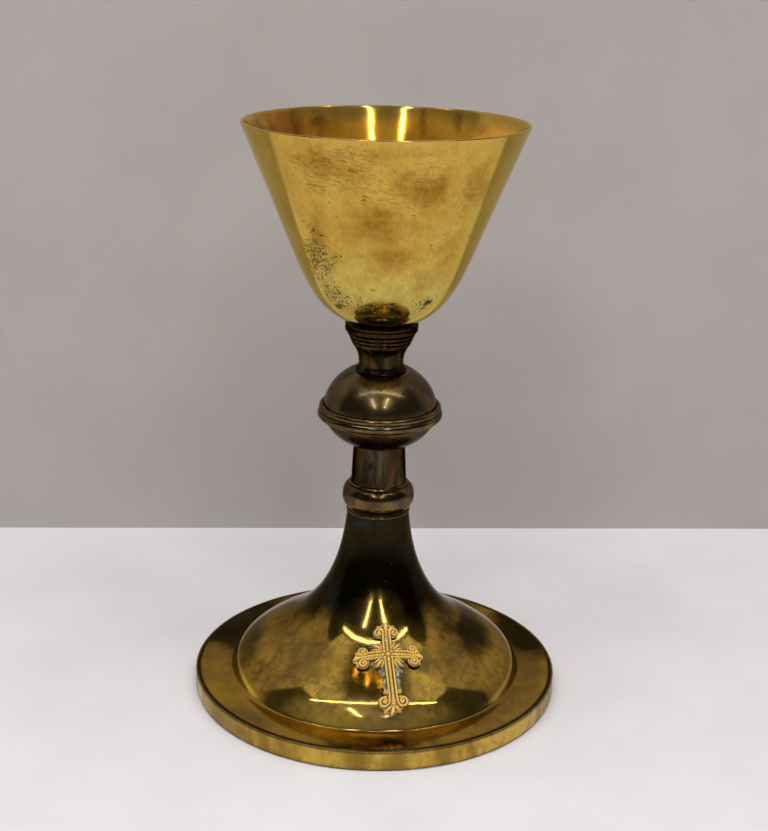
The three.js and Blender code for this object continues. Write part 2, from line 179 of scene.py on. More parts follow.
def filled(line, step, closed=True):
    """The same outline with points put in, so that none of its stretches is longer than the step."""
    made = []
    ends = line[1:] + line[:1] if closed else line[1:]
    for a, b in zip(line, ends):
        parts = max(1, math.ceil((b - a).length / step))
        made += [a.lerp(b, k / parts) for k in range(parts)]
    return made if closed else made + [line[-1]]


def worn_places(line, closed, reach):
    """For each point of an outline, how far it stands out as an edge and how deep it lies in a groove."""
    n = len(line)
    flat = np.array([tuple(p) for p in line])
    steps = np.hypot(*(np.roll(flat, -1, 0) - flat).T)
    along = np.concatenate([[0], np.cumsum(steps)[:-1]])
    whole = along[-1] + steps[-1]
    offsets = np.linspace(-reach, reach, 13)
    at = along[:, None] + offsets
    places, knots = (at % whole, whole) if closed else (np.clip(at, 0, along[-1]), along[-1])
    xs = np.append(along, whole) if closed else along
    ring = np.vstack([flat, flat[:1]]) if closed else flat
    mean = np.stack([np.interp(places, xs, ring[:, k]).mean(1) for k in (0, 1)], 1)
    ahead = np.stack([np.interp(np.clip(along + 0.05, 0, knots), xs, ring[:, k]) for k in (0, 1)], 1)
    behind = np.stack([np.interp(np.clip(along - 0.05, 0, knots), xs, ring[:, k]) for k in (0, 1)], 1)
    way = ahead - behind
    way /= np.maximum(np.hypot(*way.T), 1e-9)[:, None]
    area = 0.5 * np.sum(flat[:, 0] * np.roll(flat[:, 1], -1) - np.roll(flat[:, 0], -1) * flat[:, 1])
    out = np.stack([way[:, 1], -way[:, 0]], 1) * (1 if area > 0 else -1)
    stands = ((flat - mean) * out).sum(1) / reach
    return np.clip(stands * 4, 0, 1), np.clip(-stands * 4, 0, 1)


# Node trees


class Value:
    """What comes out of a node. Adding to it, or multiplying it, makes a Math node."""

    def __init__(self, nodes, socket):
        self.nodes, self.socket = nodes, socket

    def __add__(self, other):
        return self.nodes.math("ADD", self, other)

    def __sub__(self, other):
        return self.nodes.math("SUBTRACT", self, other)

    def __rsub__(self, other):
        return self.nodes.math("SUBTRACT", other, self)

    def __mul__(self, other):
        return self.nodes.math("MULTIPLY", self, other)

    def __truediv__(self, other):
        return self.nodes.math("DIVIDE", self, other)


class Nodes:
    """A node tree in the making, with short ways to add what is often needed."""

    def __init__(self, tree):
        self.tree = tree

    def give(self, socket, value):
        """Sets an input, or links what comes from another node to it."""
        value = value.socket if isinstance(value, Value) else value
        if isinstance(value, bpy.types.NodeSocket):
            self.tree.links.new(value, socket)
        else:
            socket.default_value = value

    def node(self, kind, inputs=(), **settings):
        """Adds a node with its settings, and gives its inputs what they take."""
        made = self.tree.nodes.new(kind)
        for name, value in settings.items():
            setattr(made, name, value)
        for name, value in dict(inputs).items():
            self.give(made.inputs[name], value)
        return made

    def math(self, operation, *values, **settings):
        made = self.node("ShaderNodeMath", dict(enumerate(values)), operation=operation, **settings)
        return Value(self, made.outputs[0])

    def most(self, *values):
        """The largest of several values."""
        whole = values[0]
        for value in values[1:]:
            whole = self.math("MAXIMUM", whole, value)
        return whole

    def vector(self, operation, *values):
        return self.node("ShaderNodeVectorMath", dict(enumerate(values)), operation=operation).outputs[0]

    def split(self, place):
        return [Value(self, part) for part in self.node("ShaderNodeSeparateXYZ", {0: place}).outputs]

    def joined(self, x, y, z):
        return self.node("ShaderNodeCombineXYZ", {0: x, 1: y, 2: z}).outputs[0]

    def spread(self, value, low, high, to_low=0.0, to_high=1.0):
        """The value, run smoothly from to_low at low to to_high at high."""
        made = self.node("ShaderNodeMapRange", {
            "Value": value, "From Min": low, "From Max": high, "To Min": to_low, "To Max": to_high},
            interpolation_type="SMOOTHSTEP")
        return Value(self, made.outputs[0])

    def mixed(self, share, first, second):
        """A colour between two, each given as red, green and blue or as a socket."""
        first, second = ((*colour, 1) if isinstance(colour, tuple) else colour for colour in (first, second))
        return self.node("ShaderNodeMix", {0: share, 6: first, 7: second}, data_type="RGBA").outputs[2]

    def noisy(self, place, scale, detail=3.0, roughness=0.55, distortion=0.0):
        made = self.node("ShaderNodeTexNoise", {"Vector": place, "Scale": scale, "Detail": detail,
                                                "Roughness": roughness, "Distortion": distortion})
        return Value(self, made.outputs[0])

    def places(self):
        """The object's own places, in millimetres."""
        place = self.tree.nodes.new("ShaderNodeTexCoord").outputs["Object"]
        return self.vector("MULTIPLY", place, (1 / MM, 1 / MM, 1 / MM))


class Group(Nodes):
    """A node group in the making. Its sockets are given as (name, type, default)."""

    def __init__(self, name, kind, inputs, outputs):
        super().__init__(bpy.data.node_groups.new(name, kind))
        for in_out, sockets in (("INPUT", inputs), ("OUTPUT", outputs)):
            for label, holds, *default in sockets:
                made = self.tree.interface.new_socket(label, in_out=in_out, socket_type="NodeSocket" + holds)
                if default:
                    made.default_value = default[0]
        given = self.tree.nodes.new("NodeGroupInput").outputs
        self.given = [Value(self, given[k]) for k in range(len(inputs))]
        self.results = self.tree.nodes.new("NodeGroupOutput").inputs

    def done(self, *results):
        """Links the results to the group's outputs, in their order."""
        for socket, value in zip(self.results, results):
            self.give(socket, value)
        return self.tree

    def piece(self, shape, finish):
        """Ends a geometry tree: its instances are made real, and the finish is put on."""
        real = self.node("GeometryNodeRealizeInstances", {0: shape.outputs[0]})
        dressed = self.node("GeometryNodeSetMaterial", {"Geometry": real.outputs[0], "Material": finish})
        return self.done(dressed.outputs[0])


# Geometry trees: turning, threads and beading

HUB = 50 * MM  # the outline is swept round a circle of this radius and set back by as much
WELD = 0.001 * MM  # points nearer than this are one


def turning_tree():
    """Sweeps an outline, the object's own edges, round the chalice's axis."""
    group = Group("turning", "GeometryNodeTree", [
        ("Outline", "Geometry"), ("Sides", "Int", 64), ("Finish", "Material")], [("Piece", "Geometry")])
    outline, sides, finish = group.given
    line = group.node("GeometryNodeMeshToCurve", {0: outline})
    circle = group.node("GeometryNodeCurvePrimitiveCircle", {"Resolution": sides, "Radius": HUB})
    swept = group.node("GeometryNodeCurveToMesh",
                       {"Curve": circle.outputs["Curve"], "Profile Curve": line.outputs[0]})
    welded = group.node("GeometryNodeMergeByDistance", {"Geometry": swept.outputs[0], "Distance": WELD})
    return group.piece(welded, finish)


def thread_tree():
    """Cuts a right-hand screw thread into a turned bar between two levels."""
    group = Group("thread", "GeometryNodeTree", [
        ("Bar", "Geometry"), ("Pitch", "Float", MM), ("Depth", "Float", 0.5 * MM),
        ("Radius", "Float", 3 * MM), ("From", "Float", 0.0), ("To", "Float", 0.1),
        ("Finish", "Material")], [("Piece", "Geometry")])
    bar, pitch, depth, radius, start, end, finish = group.given
    x, y, z = group.split(group.node("GeometryNodeInputPosition").outputs[0])
    turn = group.math("ARCTAN2", y, x) / math.tau
    valley = group.math("PINGPONG", z / pitch - turn, 0.5)
    away = group.math("SQRT", x * x + y * y)
    outside = group.math("GREATER_THAN", away, radius * 0.97)
    above = group.math("DIVIDE", z - start, pitch, use_clamp=True)
    below = group.math("DIVIDE", end - z, pitch, use_clamp=True)
    cut = valley * 2.0 * depth * (above * below * outside)
    share = 1.0 - cut / away
    moved = group.node("GeometryNodeSetPosition",
                       {"Geometry": bar, "Position": group.joined(x * share, y * share, z)})
    return group.piece(moved, finish)


def beading_tree():
    """Sets round beads in a row along each of the object's own lines."""
    group = Group("beading", "GeometryNodeTree", [
        ("Lines", "Geometry"), ("Pitch", "Float", MM), ("Bead Radius", "Float", 0.3 * MM),
        ("Finish", "Material")], [("Piece", "Geometry")])
    lines, pitch, radius, finish = group.given
    rows = group.node("GeometryNodeMeshToCurve", {0: lines})
    spaced = group.node("GeometryNodeResampleCurve", {"Curve": rows.outputs[0], "Length": pitch},
                        mode="LENGTH")
    bead = group.node("GeometryNodeMeshIcoSphere", {"Radius": radius, "Subdivisions": 3})
    placed = group.node("GeometryNodeInstanceOnPoints",
                        {"Points": spaced.outputs[0], "Instance": bead.outputs["Mesh"]})
    return group.piece(placed, finish)


TURNING = turning_tree()
THREAD = thread_tree()
BEADING = beading_tree()


def grown(name, source, tree, values):
    """A plain mesh object: what a geometry tree makes of a source mesh."""
    seed = bpy.data.objects.new(name + "_seed", source)
    bpy.context.collection.objects.link(seed)
    modifier = seed.modifiers.new("shape", "NODES")
    modifier.node_group = tree
    for item in tree.interface.items_tree:
        if item.in_out == "INPUT" and item.name in values:
            modifier[item.identifier] = values[item.name]
    graph = bpy.context.evaluated_depsgraph_get()
    mesh = bpy.data.meshes.new_from_object(seed.evaluated_get(graph))
    bpy.data.objects.remove(seed)
    mesh.name = name
    return mesh


def give_attribute(mesh, name, values):
    mesh.attributes.new(name, "FLOAT", "POINT").data.foreach_set("value", values)


def finished(name, mesh, body, nodes):
    """Puts a mesh in the scene as a piece: faces out, smooth, on its body and for its CAD nodes."""
    cleaned = bmesh.new()
    cleaned.from_mesh(mesh)
    bmesh.ops.recalc_face_normals(cleaned, faces=cleaned.faces)
    cleaned.to_mesh(mesh)
    cleaned.free()
    mesh.shade_smooth()
    made = bpy.data.objects.new(name, mesh)
    bpy.context.collection.objects.link(made)
    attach(made, body)
    if nodes:
        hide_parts(*nodes)
    return made


def outline_mesh(name, line, closed, reach):
    """The outline as edges, set back by the hub, with its edges and grooves as attributes."""
    mesh = bpy.data.meshes.new(name)
    places = [(p.x * MM - HUB, -p.y * MM, 0) for p in line]
    n = len(line)
    edges = [(i, (i + 1) % n) for i in range(n if closed else n - 1)]
    mesh.from_pydata(places, edges, [])
    edge, groove = worn_places(line, closed, reach)
    top = max(range(n), key=lambda i: line[i].y)
    give_attribute(mesh, "edge", edge)
    give_attribute(mesh, "groove", groove)
    give_attribute(mesh, "inner", [float(i > top) for i in range(n)])
    return mesh


def turned_mesh(name, line, sides, finish, closed=True, step=0.6, reach=0.9):
    source = outline_mesh(name + "_outline", filled(line, step, closed), closed, reach)
    return grown(name, source, TURNING, {"Sides": sides, "Finish": finish})


def turned(name, line, sides, finish, body, node_name, slot, **choices):
    mesh = turned_mesh(name, line, sides, finish, **choices)
    return finished(name, mesh, body, [node_name])


# Shader groups


def stain_group():
    """One ragged blot: full inside its size about its centre, faded out at its edge."""
    group = Group("stain", "ShaderNodeTree", [
        ("Place", "Vector"), ("Centre", "Vector"), ("Size", "Vector", (10, 10, 10)),
        ("Ragged", "Float", 0.6), ("Grain", "Float", 0.2), ("Fade", "Float", 0.6)], [("Mask", "Float")])
    place, centre, size, ragged, grain, fade = group.given
    within = group.vector("DIVIDE", group.vector("SUBTRACT", place, centre), size)
    length = group.node("ShaderNodeVectorMath", {0: within}, operation="LENGTH").outputs["Value"]
    wave = group.noisy(place, grain, 4.0) - 0.5
    away = Value(group, length) + wave * (ragged * 3.0)
    return group.done(group.spread(away, 1.0, 1.0 - fade))


def cloud_group():
    """Cloudy patches between two levels of a noise."""
    group = Group("cloud", "ShaderNodeTree", [
        ("Place", "Vector"), ("Grain", "Float", 0.1), ("Stretch", "Vector", (1, 1, 1)),
        ("Low", "Float", 0.45), ("High", "Float", 0.65)], [("Mask", "Float")])
    place, grain, stretch, low, high = group.given
    clouds = group.noisy(group.vector("MULTIPLY", place, stretch), grain, 5.0, 0.6, 0.4)
    return group.done(group.spread(clouds, low, high))


def pits_group():
    """Small dark pits, thick where the share is high."""
    group = Group("pits", "ShaderNodeTree", [
        ("Place", "Vector"), ("Grain", "Float", 1.0), ("Share", "Float", 0.1), ("Size", "Float", 0.3)],
        [("Mask", "Float")])
    place, grain, share, size = group.given
    bend = group.node("ShaderNodeTexNoise", {"Vector": place, "Scale": 0.9, "Detail": 2.0}).outputs["Color"]
    bent = group.vector("MULTIPLY_ADD", bend, (1.6, 1.6, 1.6), place)
    cells = group.node("ShaderNodeTexVoronoi", {"Vector": bent, "Scale": grain}).outputs
    chance = group.node("ShaderNodeSeparateColor", {0: cells["Color"]}).outputs[0]
    chosen = group.math("LESS_THAN", chance, share)
    return group.done(chosen * group.spread(cells["Distance"], size, size * 0.6))


def scratches_group():
    """Thin hairlines that run along the least stretched axis."""
    group = Group("scratches", "ShaderNodeTree", [
        ("Place", "Vector"), ("Stretch", "Vector", (0.3, 0.3, 5)), ("Low", "Float", 0.6)],
        [("Mask", "Float")])
    place, stretch, low = group.given
    lines = group.noisy(group.vector("MULTIPLY", place, stretch), 1.0, 3.0, 0.7, 0.3)
    return group.done(group.spread(lines, low, low + 0.08))


def turning_marks_group():
    """Fine rings left by the lathe: a height that changes with radius and level, hardly round them."""
    group = Group("turning_marks", "ShaderNodeTree", [("Place", "Vector"), ("Grain", "Float", 3.0)],
                  [("Height", "Float")])
    place, grain = group.given
    x, y, z = group.split(place)
    radius = group.math("SQRT", x * x + y * y)
    turn = group.math("ARCTAN2", group.math("ABSOLUTE", y), x)
    return group.done(group.noisy(group.joined(radius, turn * 0.15, z), grain, 2.0, 0.6))


def tarnish_group():
    """Brass under tarnish: bright where it is rubbed, dull in clouds, dark in its grooves."""
    group = Group("tarnish", "ShaderNodeTree", [
        ("Place", "Vector"), ("Edge", "Float"), ("Groove", "Float"),
        ("Bright", "Color", (0.5, 0.32, 0.08, 1)), ("Dull", "Color", (0.2, 0.12, 0.04, 1)),
        ("Dark", "Color", (0.02, 0.015, 0.01, 1)),
        ("Grain", "Float", 0.15), ("Streak", "Vector", (1, 1, 1)), ("Polish", "Float", 0.5),
        ("Depth", "Float", 1.0)], [("Color", "Color"), ("Roughness", "Float")])
    place, edge, groove, bright, dull, dark, grain, streak, polish, depth = group.given
    clouds = group.noisy(group.vector("MULTIPLY", place, streak), grain, 5.0, 0.6, 0.5)
    low = 0.75 - polish * 0.5
    fine = group.noisy(place, 0.9, 3.0)
    rubbed = group.math("MULTIPLY", edge, group.spread(fine, 0.3, 0.55), use_clamp=True)
    share = group.most(group.spread(clouds, low - 0.15, low + 0.15), rubbed)
    grime = group.math("MULTIPLY", groove * depth, group.spread(fine, 0.2, 0.5, 0.7, 1.2), use_clamp=True)
    colour = group.mixed(grime, group.mixed(share, dull, bright), dark)
    rough = group.spread(share, 0.0, 1.0, 0.2, 0.11) + grime * 0.3 + (fine - 0.5) * 0.12
    return group.done(colour, rough)


STAIN = stain_group()
CLOUD = cloud_group()
PITS = pits_group()
SCRATCHES = scratches_group()
TURNING_MARKS = turning_marks_group()
TARNISH = tarnish_group()


class Finish(Nodes):
    """A metal finish in the making: its shader's inputs, its places and its colour so far."""

    def __init__(self, name, roughness=0.25, metallic=1.0, grazing=(1, 1, 1), coat=0.0):
        self.material = bpy.data.materials.new(name)
        self.material.use_nodes = True
        super().__init__(self.material.node_tree)
        self.shader = self.tree.nodes["Principled BSDF"].inputs
        for label, value in (("Metallic", metallic), ("Roughness", roughness), ("Coat Weight", coat),
                             ("Coat Roughness", 0.1), ("Specular Tint", (*grazing, 1))):
            self.shader[label].default_value = value
        self.place = self.places()
        self.colour = None

    def leaning(self, degrees):
        """The places turned about the Y axis, for marks that lean."""
        return self.node("ShaderNodeVectorRotate", {"Vector": self.place, "Angle": math.radians(degrees)},
                         rotation_type="Y_AXIS").outputs[0]

    def attribute(self, name):
        return Value(self, self.node("ShaderNodeAttribute", attribute_name=name).outputs["Fac"])

    def effect(self, group, **values):
        """A shader group placed in the material, and what it makes."""
        made = self.node("ShaderNodeGroup", node_tree=group)
        for name, value in {"place": self.place, **values}.items():
            self.give(made.inputs[name.capitalize()], value)
        return [Value(self, socket) for socket in made.outputs]

    def cloud(self, **values):
        return self.effect(CLOUD, **values)[0]

    def pits(self, **values):
        return self.effect(PITS, **values)[0]

    def scratches(self, **values):
        return self.effect(SCRATCHES, **values)[0]

    def lathe_rings(self, grain):
        return self.effect(TURNING_MARKS, grain=grain)[0]

    def stain(self, centre, size, ragged, fade, strength):
        grain = 2.2 / max(size)
        mask = self.effect(STAIN, centre=centre, size=size, ragged=ragged, grain=grain, fade=fade)[0]
        return mask * strength

    def stains(self, *rows):
        """The strongest of several blots, each given as stain takes it."""
        return self.most(*(self.stain(*row) for row in rows))

    def tint(self, share, colour):
        """Lays a colour over what is there."""
        self.colour = self.mixed(share, self.colour, colour)

    def done(self, rough, height, depth):
        """Links what was made to the shader; depth is the bump's, in millimetres."""
        bump = self.node("ShaderNodeBump", {"Strength": 1.0, "Distance": depth * MM, "Height": height})
        self.give(self.shader["Base Color"], self.colour)
        self.give(self.shader["Roughness"], rough)
        self.give(self.shader["Normal"], bump.outputs[0])
        return self.material


# Finishes


def gilt_finish():
    """The cup's gilding: rubbed thin, clouded brown, scored, and pitted black low on its left."""
    made = Finish("worn_gilding", grazing=(1, 0.9, 0.6))
    place = made.place
    gold, lime_and_side_sheen, brown = (0.66, 0.435, 0.08), (0.62, 0.49, 0.12), (0.32, 0.15, 0.015)
    x, y, z = made.split(place)
    wave = made.noisy(place, 0.06, 3.0)
    # Lime-green gold low on the bowl, and the same lime as a painted sheen turned away from the front, at
    # the sides and back.
    low = made.spread(z + wave * 30.0, 190.0, 166.0)
    turn = made.math("ARCTAN2", made.math("ABSOLUTE", x), y * -1.0)
    made.colour = made.mixed(made.most(low, made.spread(turn, 0.7, 1.1) * 0.75), gold, lime_and_side_sheen)
    haze = made.cloud(grain=0.11, stretch=(1, 1, 0.45), low=0.36, high=0.7)
    made.tint(haze * 0.4, brown)

    # Brown clouds, brushed downwards and ringed.
    clouds = made.stains(
        ((13, -38, 188), (17, 13, 10), 0.6, 1.0, 1.0),
        ((-1, -37, 177), (15, 12, 11), 0.5, 1.0, 1.0),
        ((3, -31, 166), (12, 10, 8), 0.5, 0.9, 0.75),
        ((29, -30, 188), (9, 9, 13), 0.6, 0.9, 0.7),
        ((-18, -40, 196), (16, 12, 8), 0.6, 0.9, 0.75),
        ((-21, -28, 172), (4, 9, 16), 0.6, 0.9, 0.7),
        ((3, -43, 201), (26, 9, 4), 0.7, 0.9, 0.6),
        ((20, -27, 169), (8, 9, 9), 0.6, 0.9, 0.5),
        ((12, -24, 156), (4, 9, 9), 0.7, 0.9, 0.45))
    down = made.vector("MULTIPLY", place, (0.9, 0.9, 0.07))
    around = made.vector("MULTIPLY", place, (0.07, 0.07, 0.8))
    brushed = made.spread(made.noisy(down, 1.0, 3.0), 0.3, 0.6, 0.7, 1.0)
    ringed = made.spread(made.noisy(around, 1.0, 4.0), 0.35, 0.6, 0.8, 1.0)
    clouds = clouds * (brushed * ringed)
    made.tint(clouds, brown)

    # Fine scratches and short marks under the rim, which lean and are a little bent.
    bend = made.noisy(place, 0.15, 2.0) * 4.0
    leaning = made.vector("ADD", made.leaning(-12), made.joined(bend, 0.0, bend))
    hairs = made.scratches(place=leaning, stretch=(0.22, 0.3, 1.7), low=0.5)
    where = made.stains(((-17, -40, 194), (22, 14, 11), 0.7, 0.8, 1.0),
                        ((10, -42, 190), (20, 12, 13), 0.7, 0.8, 0.55))
    marks = made.pits(place=made.vector("MULTIPLY", leaning, (0.42, 0.42, 1.1)), grain=0.7,
                      share=where * 0.16 + 0.012, size=0.36)
    faint = made.most(hairs * (where * 0.6 + 0.08), marks * 0.8)
    made.tint(faint * 0.85, (0.13, 0.06, 0.012))

    # Rubbed lines all over, and bright scores low on the right.
    made.tint(made.scratches(stretch=(1.6, 1.6, 0.1), low=0.52) * 0.3, brown)
    scored = made.scratches(place=made.leaning(38), stretch=(1.5, 0.5, 0.12), low=0.5)
    patchy = made.cloud(grain=0.1, low=0.4, high=0.6)
    right = made.stain((24, -26, 172), (20, 16, 24), 0.5, 0.9, 1.0)
    made.tint(scored * patchy * (right * 0.6), (0.72, 0.54, 0.17))

    # Grime and black pits, thick low on the left.
    thick = made.stains(((-21, -24, 163), (8, 13, 14), 0.7, 0.9, 1.2),
                        ((-15, -21, 151), (9, 10, 7), 0.7, 0.9, 0.8),
                        ((-8, -22, 147), (8, 8, 4), 0.7, 0.9, 0.5),
                        ((13, -20, 148), (6, 6, 4), 0.6, 0.9, 0.6))
    grimed = thick * made.cloud(grain=0.55, low=0.5, high=0.6)
    made.tint(grimed * 0.55, (0.14, 0.1, 0.075))
    specks = made.pits(grain=1.2, share=thick, size=0.46)
    fine = made.pits(grain=2.4, share=thick * 0.8 + 0.003, size=0.45)
    few = made.pits(grain=0.5, share=0.05, size=0.12)
    spots = made.stains(((3.3, -24.3, 148.5), (1.3, 2, 0.8), 0.5, 0.4, 1.0),
                        ((15.2, -19, 148.4), (1.8, 2.4, 1.5), 1.0, 0.4, 1.0),
                        ((-14.5, -18.5, 146), (2.2, 3, 1.3), 1.2, 0.5, 0.9))
    inside = made.attribute("inner")
    black = made.most(specks, fine, few, spots) * (1.0 - inside)
    made.tint(black * 0.92, (0.03, 0.022, 0.024))

    # The inside: deeper gold, shaded on its left, with a green tinge and drips under the rim.
    inner = made.mixed(made.cloud(grain=0.07, low=0.38, high=0.66), (1.0, 0.52, 0.05), (0.68, 0.31, 0.024))
    greening = made.spread(z + wave * 8.0, 202.5, 207.5)
    inner = made.mixed(greening * 0.7, inner, (0.3, 0.24, 0.05))
    shaded = made.stain((-36, 24, 197), (24, 22, 14), 0.5, 0.9, 0.95)
    inner = made.mixed(shaded, inner, (0.34, 0.12, 0.012))
    drips = made.stains(((13, 45, 199), (2.2, 6, 9), 0.5, 0.9, 0.6),
                        ((26, 39, 200), (2.4, 6, 8), 0.5, 0.9, 0.55),
                        ((33, 33, 199), (7, 9, 3), 0.8, 0.9, 0.5),
                        ((-42, 14, 198), (10, 22, 6), 0.8, 0.9, 0.8),
                        ((-24, 38, 200), (8, 6, 3), 0.8, 0.9, 0.5))
    inner = made.mixed(drips, inner, (0.13, 0.08, 0.014))
    made.tint(inside, inner)
    made.tint(made.attribute("edge") * 0.6, (0.6, 0.4, 0.1))

    rough = haze * 0.05 + 0.085 + clouds * 0.12 + black * 0.45
    made.give(made.shader["Metallic"], 1.0 - inside * 0.3)
    height = made.lathe_rings(1.4) * 0.1 - black + made.noisy(place, 0.12, 2.0) * 1.2 - faint * 0.3
    return made.done(rough, height, 0.03)


def foot_finish():
    """The foot's shell: almost black up its flare, brown and golden where it was polished."""
    made = Finish("foot_tarnish", grazing=(0.6, 0.56, 0.5))
    place = made.place
    gold, bronze, black = (0.62, 0.38, 0.055), (0.3, 0.19, 0.05), (0.009, 0.0075, 0.005)
    haze = made.cloud(grain=0.06, low=0.35, high=0.7)
    made.colour = made.mixed(haze, gold, bronze)
    x, y, z = made.split(place)

    # Black tarnish: up the flare, along the rim, and in patches on the dome and the flange.
    wave = (made.noisy(place, 0.07, 4.0) - 0.5) * 26.0
    flare = made.spread(z + wave + y * 0.22, 19.0, 34.0)
    clean = made.stain((2, -22, 34), (12, 12, 12), 0.35, 0.8, 0.9)
    along_rim = made.spread(made.math("SQRT", x * x + y * y), 63.7, 64.5)
    patches = made.stains(
        ((36, -6, 23), (11, 24, 10), 0.35, 0.6, 0.97),
        ((34, 14, 24), (12, 16, 9), 0.3, 0.7, 0.9),
        ((0, 62, 7), (52, 30, 14), 0.5, 0.7, 0.85),
        ((-50, 30, 8), (26, 36, 5), 0.4, 0.5, 0.95),
        ((58, 30, 7), (16, 34, 4), 0.25, 0.5, 0.97),
        ((-61, 24, 7), (10, 18, 4), 0.25, 0.5, 0.97),
        ((-46, -3, 16), (9, 28, 9), 0.4, 0.9, 0.7),
        ((-37, -26, 14), (10, 10, 5), 0.7, 0.9, 0.6),
        ((2, -57, 7), (9, 4, 3), 0.8, 0.9, 0.6),
        ((-30, 30, 25), (26, 26, 9), 0.6, 0.8, 0.6),
        ((-33, 2, 25), (13, 20, 7), 0.7, 0.9, 0.6),
        ((-46, -8, 15), (8, 20, 8), 0.8, 0.9, 0.6),
        ((27, -12, 28), (8, 12, 8), 0.6, 0.8, 0.8))
    dark = made.most(flare * (1.0 - clean), along_rim * 0.92, patches)
    mottled = made.cloud(grain=0.34, low=0.42, high=0.64)
    made.tint(mottled * made.spread(z, 8.0, 12.0, 0.1, 0.42), (0.12, 0.075, 0.028))
    blued = made.mixed(made.cloud(grain=0.05, low=0.5, high=0.7), black, (0.014, 0.026, 0.026))
    made.tint(dark * 0.97, blued)
    made.tint(made.stain((45, 0, 17), (9, 22, 7), 0.8, 0.9, 0.15), (0.03, 0.11, 0.1))

    # Grime in the crease, hairlines, specks, and what was left round the cross by old polish.
    made.tint(made.attribute("groove") * 0.3, (0.1, 0.06, 0.02))
    made.tint(made.scratches(stretch=(0.5, 2.6, 0.5), low=0.66) * 0.18, bronze)
    specks = made.pits(grain=0.5, share=0.05, size=0.16)
    made.tint(specks * 0.6, (0.07, 0.04, 0.02))
    film = made.stain((4, -34, 23), (11, 9, 9), 0.3, 0.8, 0.85)
    made.tint(film * 0.7, (0.13, 0.09, 0.03))
    polish = made.stain((16, -30, 22), (7, 7, 6), 0.9, 0.7, 0.7)
    made.tint(polish, (0.16, 0.14, 0.045))

    rough = made.spread(dark, 0.3, 1.0, 0.09, 0.2) + haze * 0.04 + specks * 0.2 + film * 0.22 + polish * 0.15
    veil = made.stain((-2, -50, 10), (44, 16, 9), 0.3, 0.7, 0.5) * made.spread(z, 7.2, 8.2)
    made.give(made.shader["Metallic"], 1.0 - veil)
    swell = made.noisy(place, 0.1, 2.0) * made.spread(z, 7.5, 11.0, 0.3, 1.0)
    return made.done(rough, swell - specks * 0.4, 0.02)


def brass_finish(name, bright, dull, dark, polish, streak=(1, 1, 1), grain=0.15, depth=1.0,
                 dulled=0.0, patina=0.0, grazing=(0.4, 0.36, 0.32), coat=0.0):
    """Turned brass under tarnish, with the lathe's fine rings and a bloom of copper red and green."""
    made = Finish(name, grazing=grazing, coat=coat)
    made.colour, rough = made.effect(
        TARNISH, edge=made.attribute("edge"), groove=made.attribute("groove"), bright=(*bright, 1),
        dull=(*dull, 1), dark=(*dark, 1), grain=grain, streak=streak, polish=polish, depth=depth)
    red = made.cloud(grain=0.16, stretch=(1, 1, 0.35), low=0.5, high=0.66)
    made.tint(red * patina, (0.15, 0.055, 0.015))
    mirrored = made.vector("MULTIPLY", made.place, (-1, 1, 1))
    green = made.cloud(place=mirrored, grain=0.2, stretch=(1, 1, 0.25), low=0.5, high=0.6)
    made.tint(green * patina, (0.085, 0.075, 0.04))
    made.tint(made.pits(grain=0.8, share=0.06, size=0.2) * 0.6, dark)
    height = made.lathe_rings(2.5) * 0.25 + made.noisy(made.place, 0.35, 2.0)
    return made.done(rough + (green * (0.1 * patina) + dulled), height, 0.01)


def rim_finish():
    """The rim band: matte gilding in soft smears, browned on its left, with grime along its foot and in its
    grooves, and a painted shadow across its top under the lip.
    """
    made = Finish("rim_gilding", metallic=0.8)
    smears = made.cloud(grain=0.09, stretch=(1, 1, 0.25), low=0.38, high=0.6)
    made.colour = made.mixed(smears, (0.62, 0.4, 0.065), (0.34, 0.2, 0.028))
    patches = made.cloud(grain=0.22, stretch=(1, 1, 0.8), low=0.5, high=0.62)
    made.tint(patches * 0.35, (0.22, 0.12, 0.018))
    made.tint(made.stain((-46, -44, 3), (34, 24, 7), 0.6, 0.9, 0.55), (0.17, 0.09, 0.014))
    z = made.split(made.place)[2]
    fine = made.noisy(made.place, 0.6, 4.0)
    made.tint(made.spread(z + fine * 2.4, 2.6, 1.0) * 0.8, (0.12, 0.05, 0.012))
    # A painted shadow across the band's top under its lip, kept off the lip's rounded edge.
    lip_edge_kept_lit = made.attribute("edge") * 0.35
    shadow_under_lip = made.spread(z, 6.1, 6.5) * made.math("SUBTRACT", 1.0, lip_edge_kept_lit, use_clamp=True)
    made.tint(shadow_under_lip * 0.9, (0.035, 0.025, 0.012))
    made.tint(made.attribute("groove") * 0.95, (0.02, 0.015, 0.01))
    specks = made.pits(grain=0.9, share=0.05, size=0.25)
    made.tint(specks * 0.6, (0.08, 0.04, 0.012))
    return made.done(smears * 0.12 + 0.28, fine - specks * 0.4, 0.025)


def cast_finish():
    """The cross: cast, coppery gilding, with painted shade in its hollows, along its outline and down its
    sides, and painted highlights on its high places.
    """
    made = Finish("cast_gilding", metallic=0.1, coat=0.9)
    patches = made.cloud(grain=0.35, low=0.4, high=0.65)
    made.colour = made.mixed(patches, (1.0, 0.58, 0.08), (0.95, 0.49, 0.06))
    # Painted highlights on the high places; painted shade in the hollows, along the outline and down the
    # side walls.
    made.tint(made.attribute("edge") * 0.85, (1.0, 0.76, 0.2))
    made.tint(made.attribute("groove") * 0.95, (0.07, 0.03, 0.007))
    fine = made.noisy(made.place, 5.0, 3.0)
    return made.done(made.spread(fine, 0.3, 0.7, 0.2, 0.36), fine, 0.09)


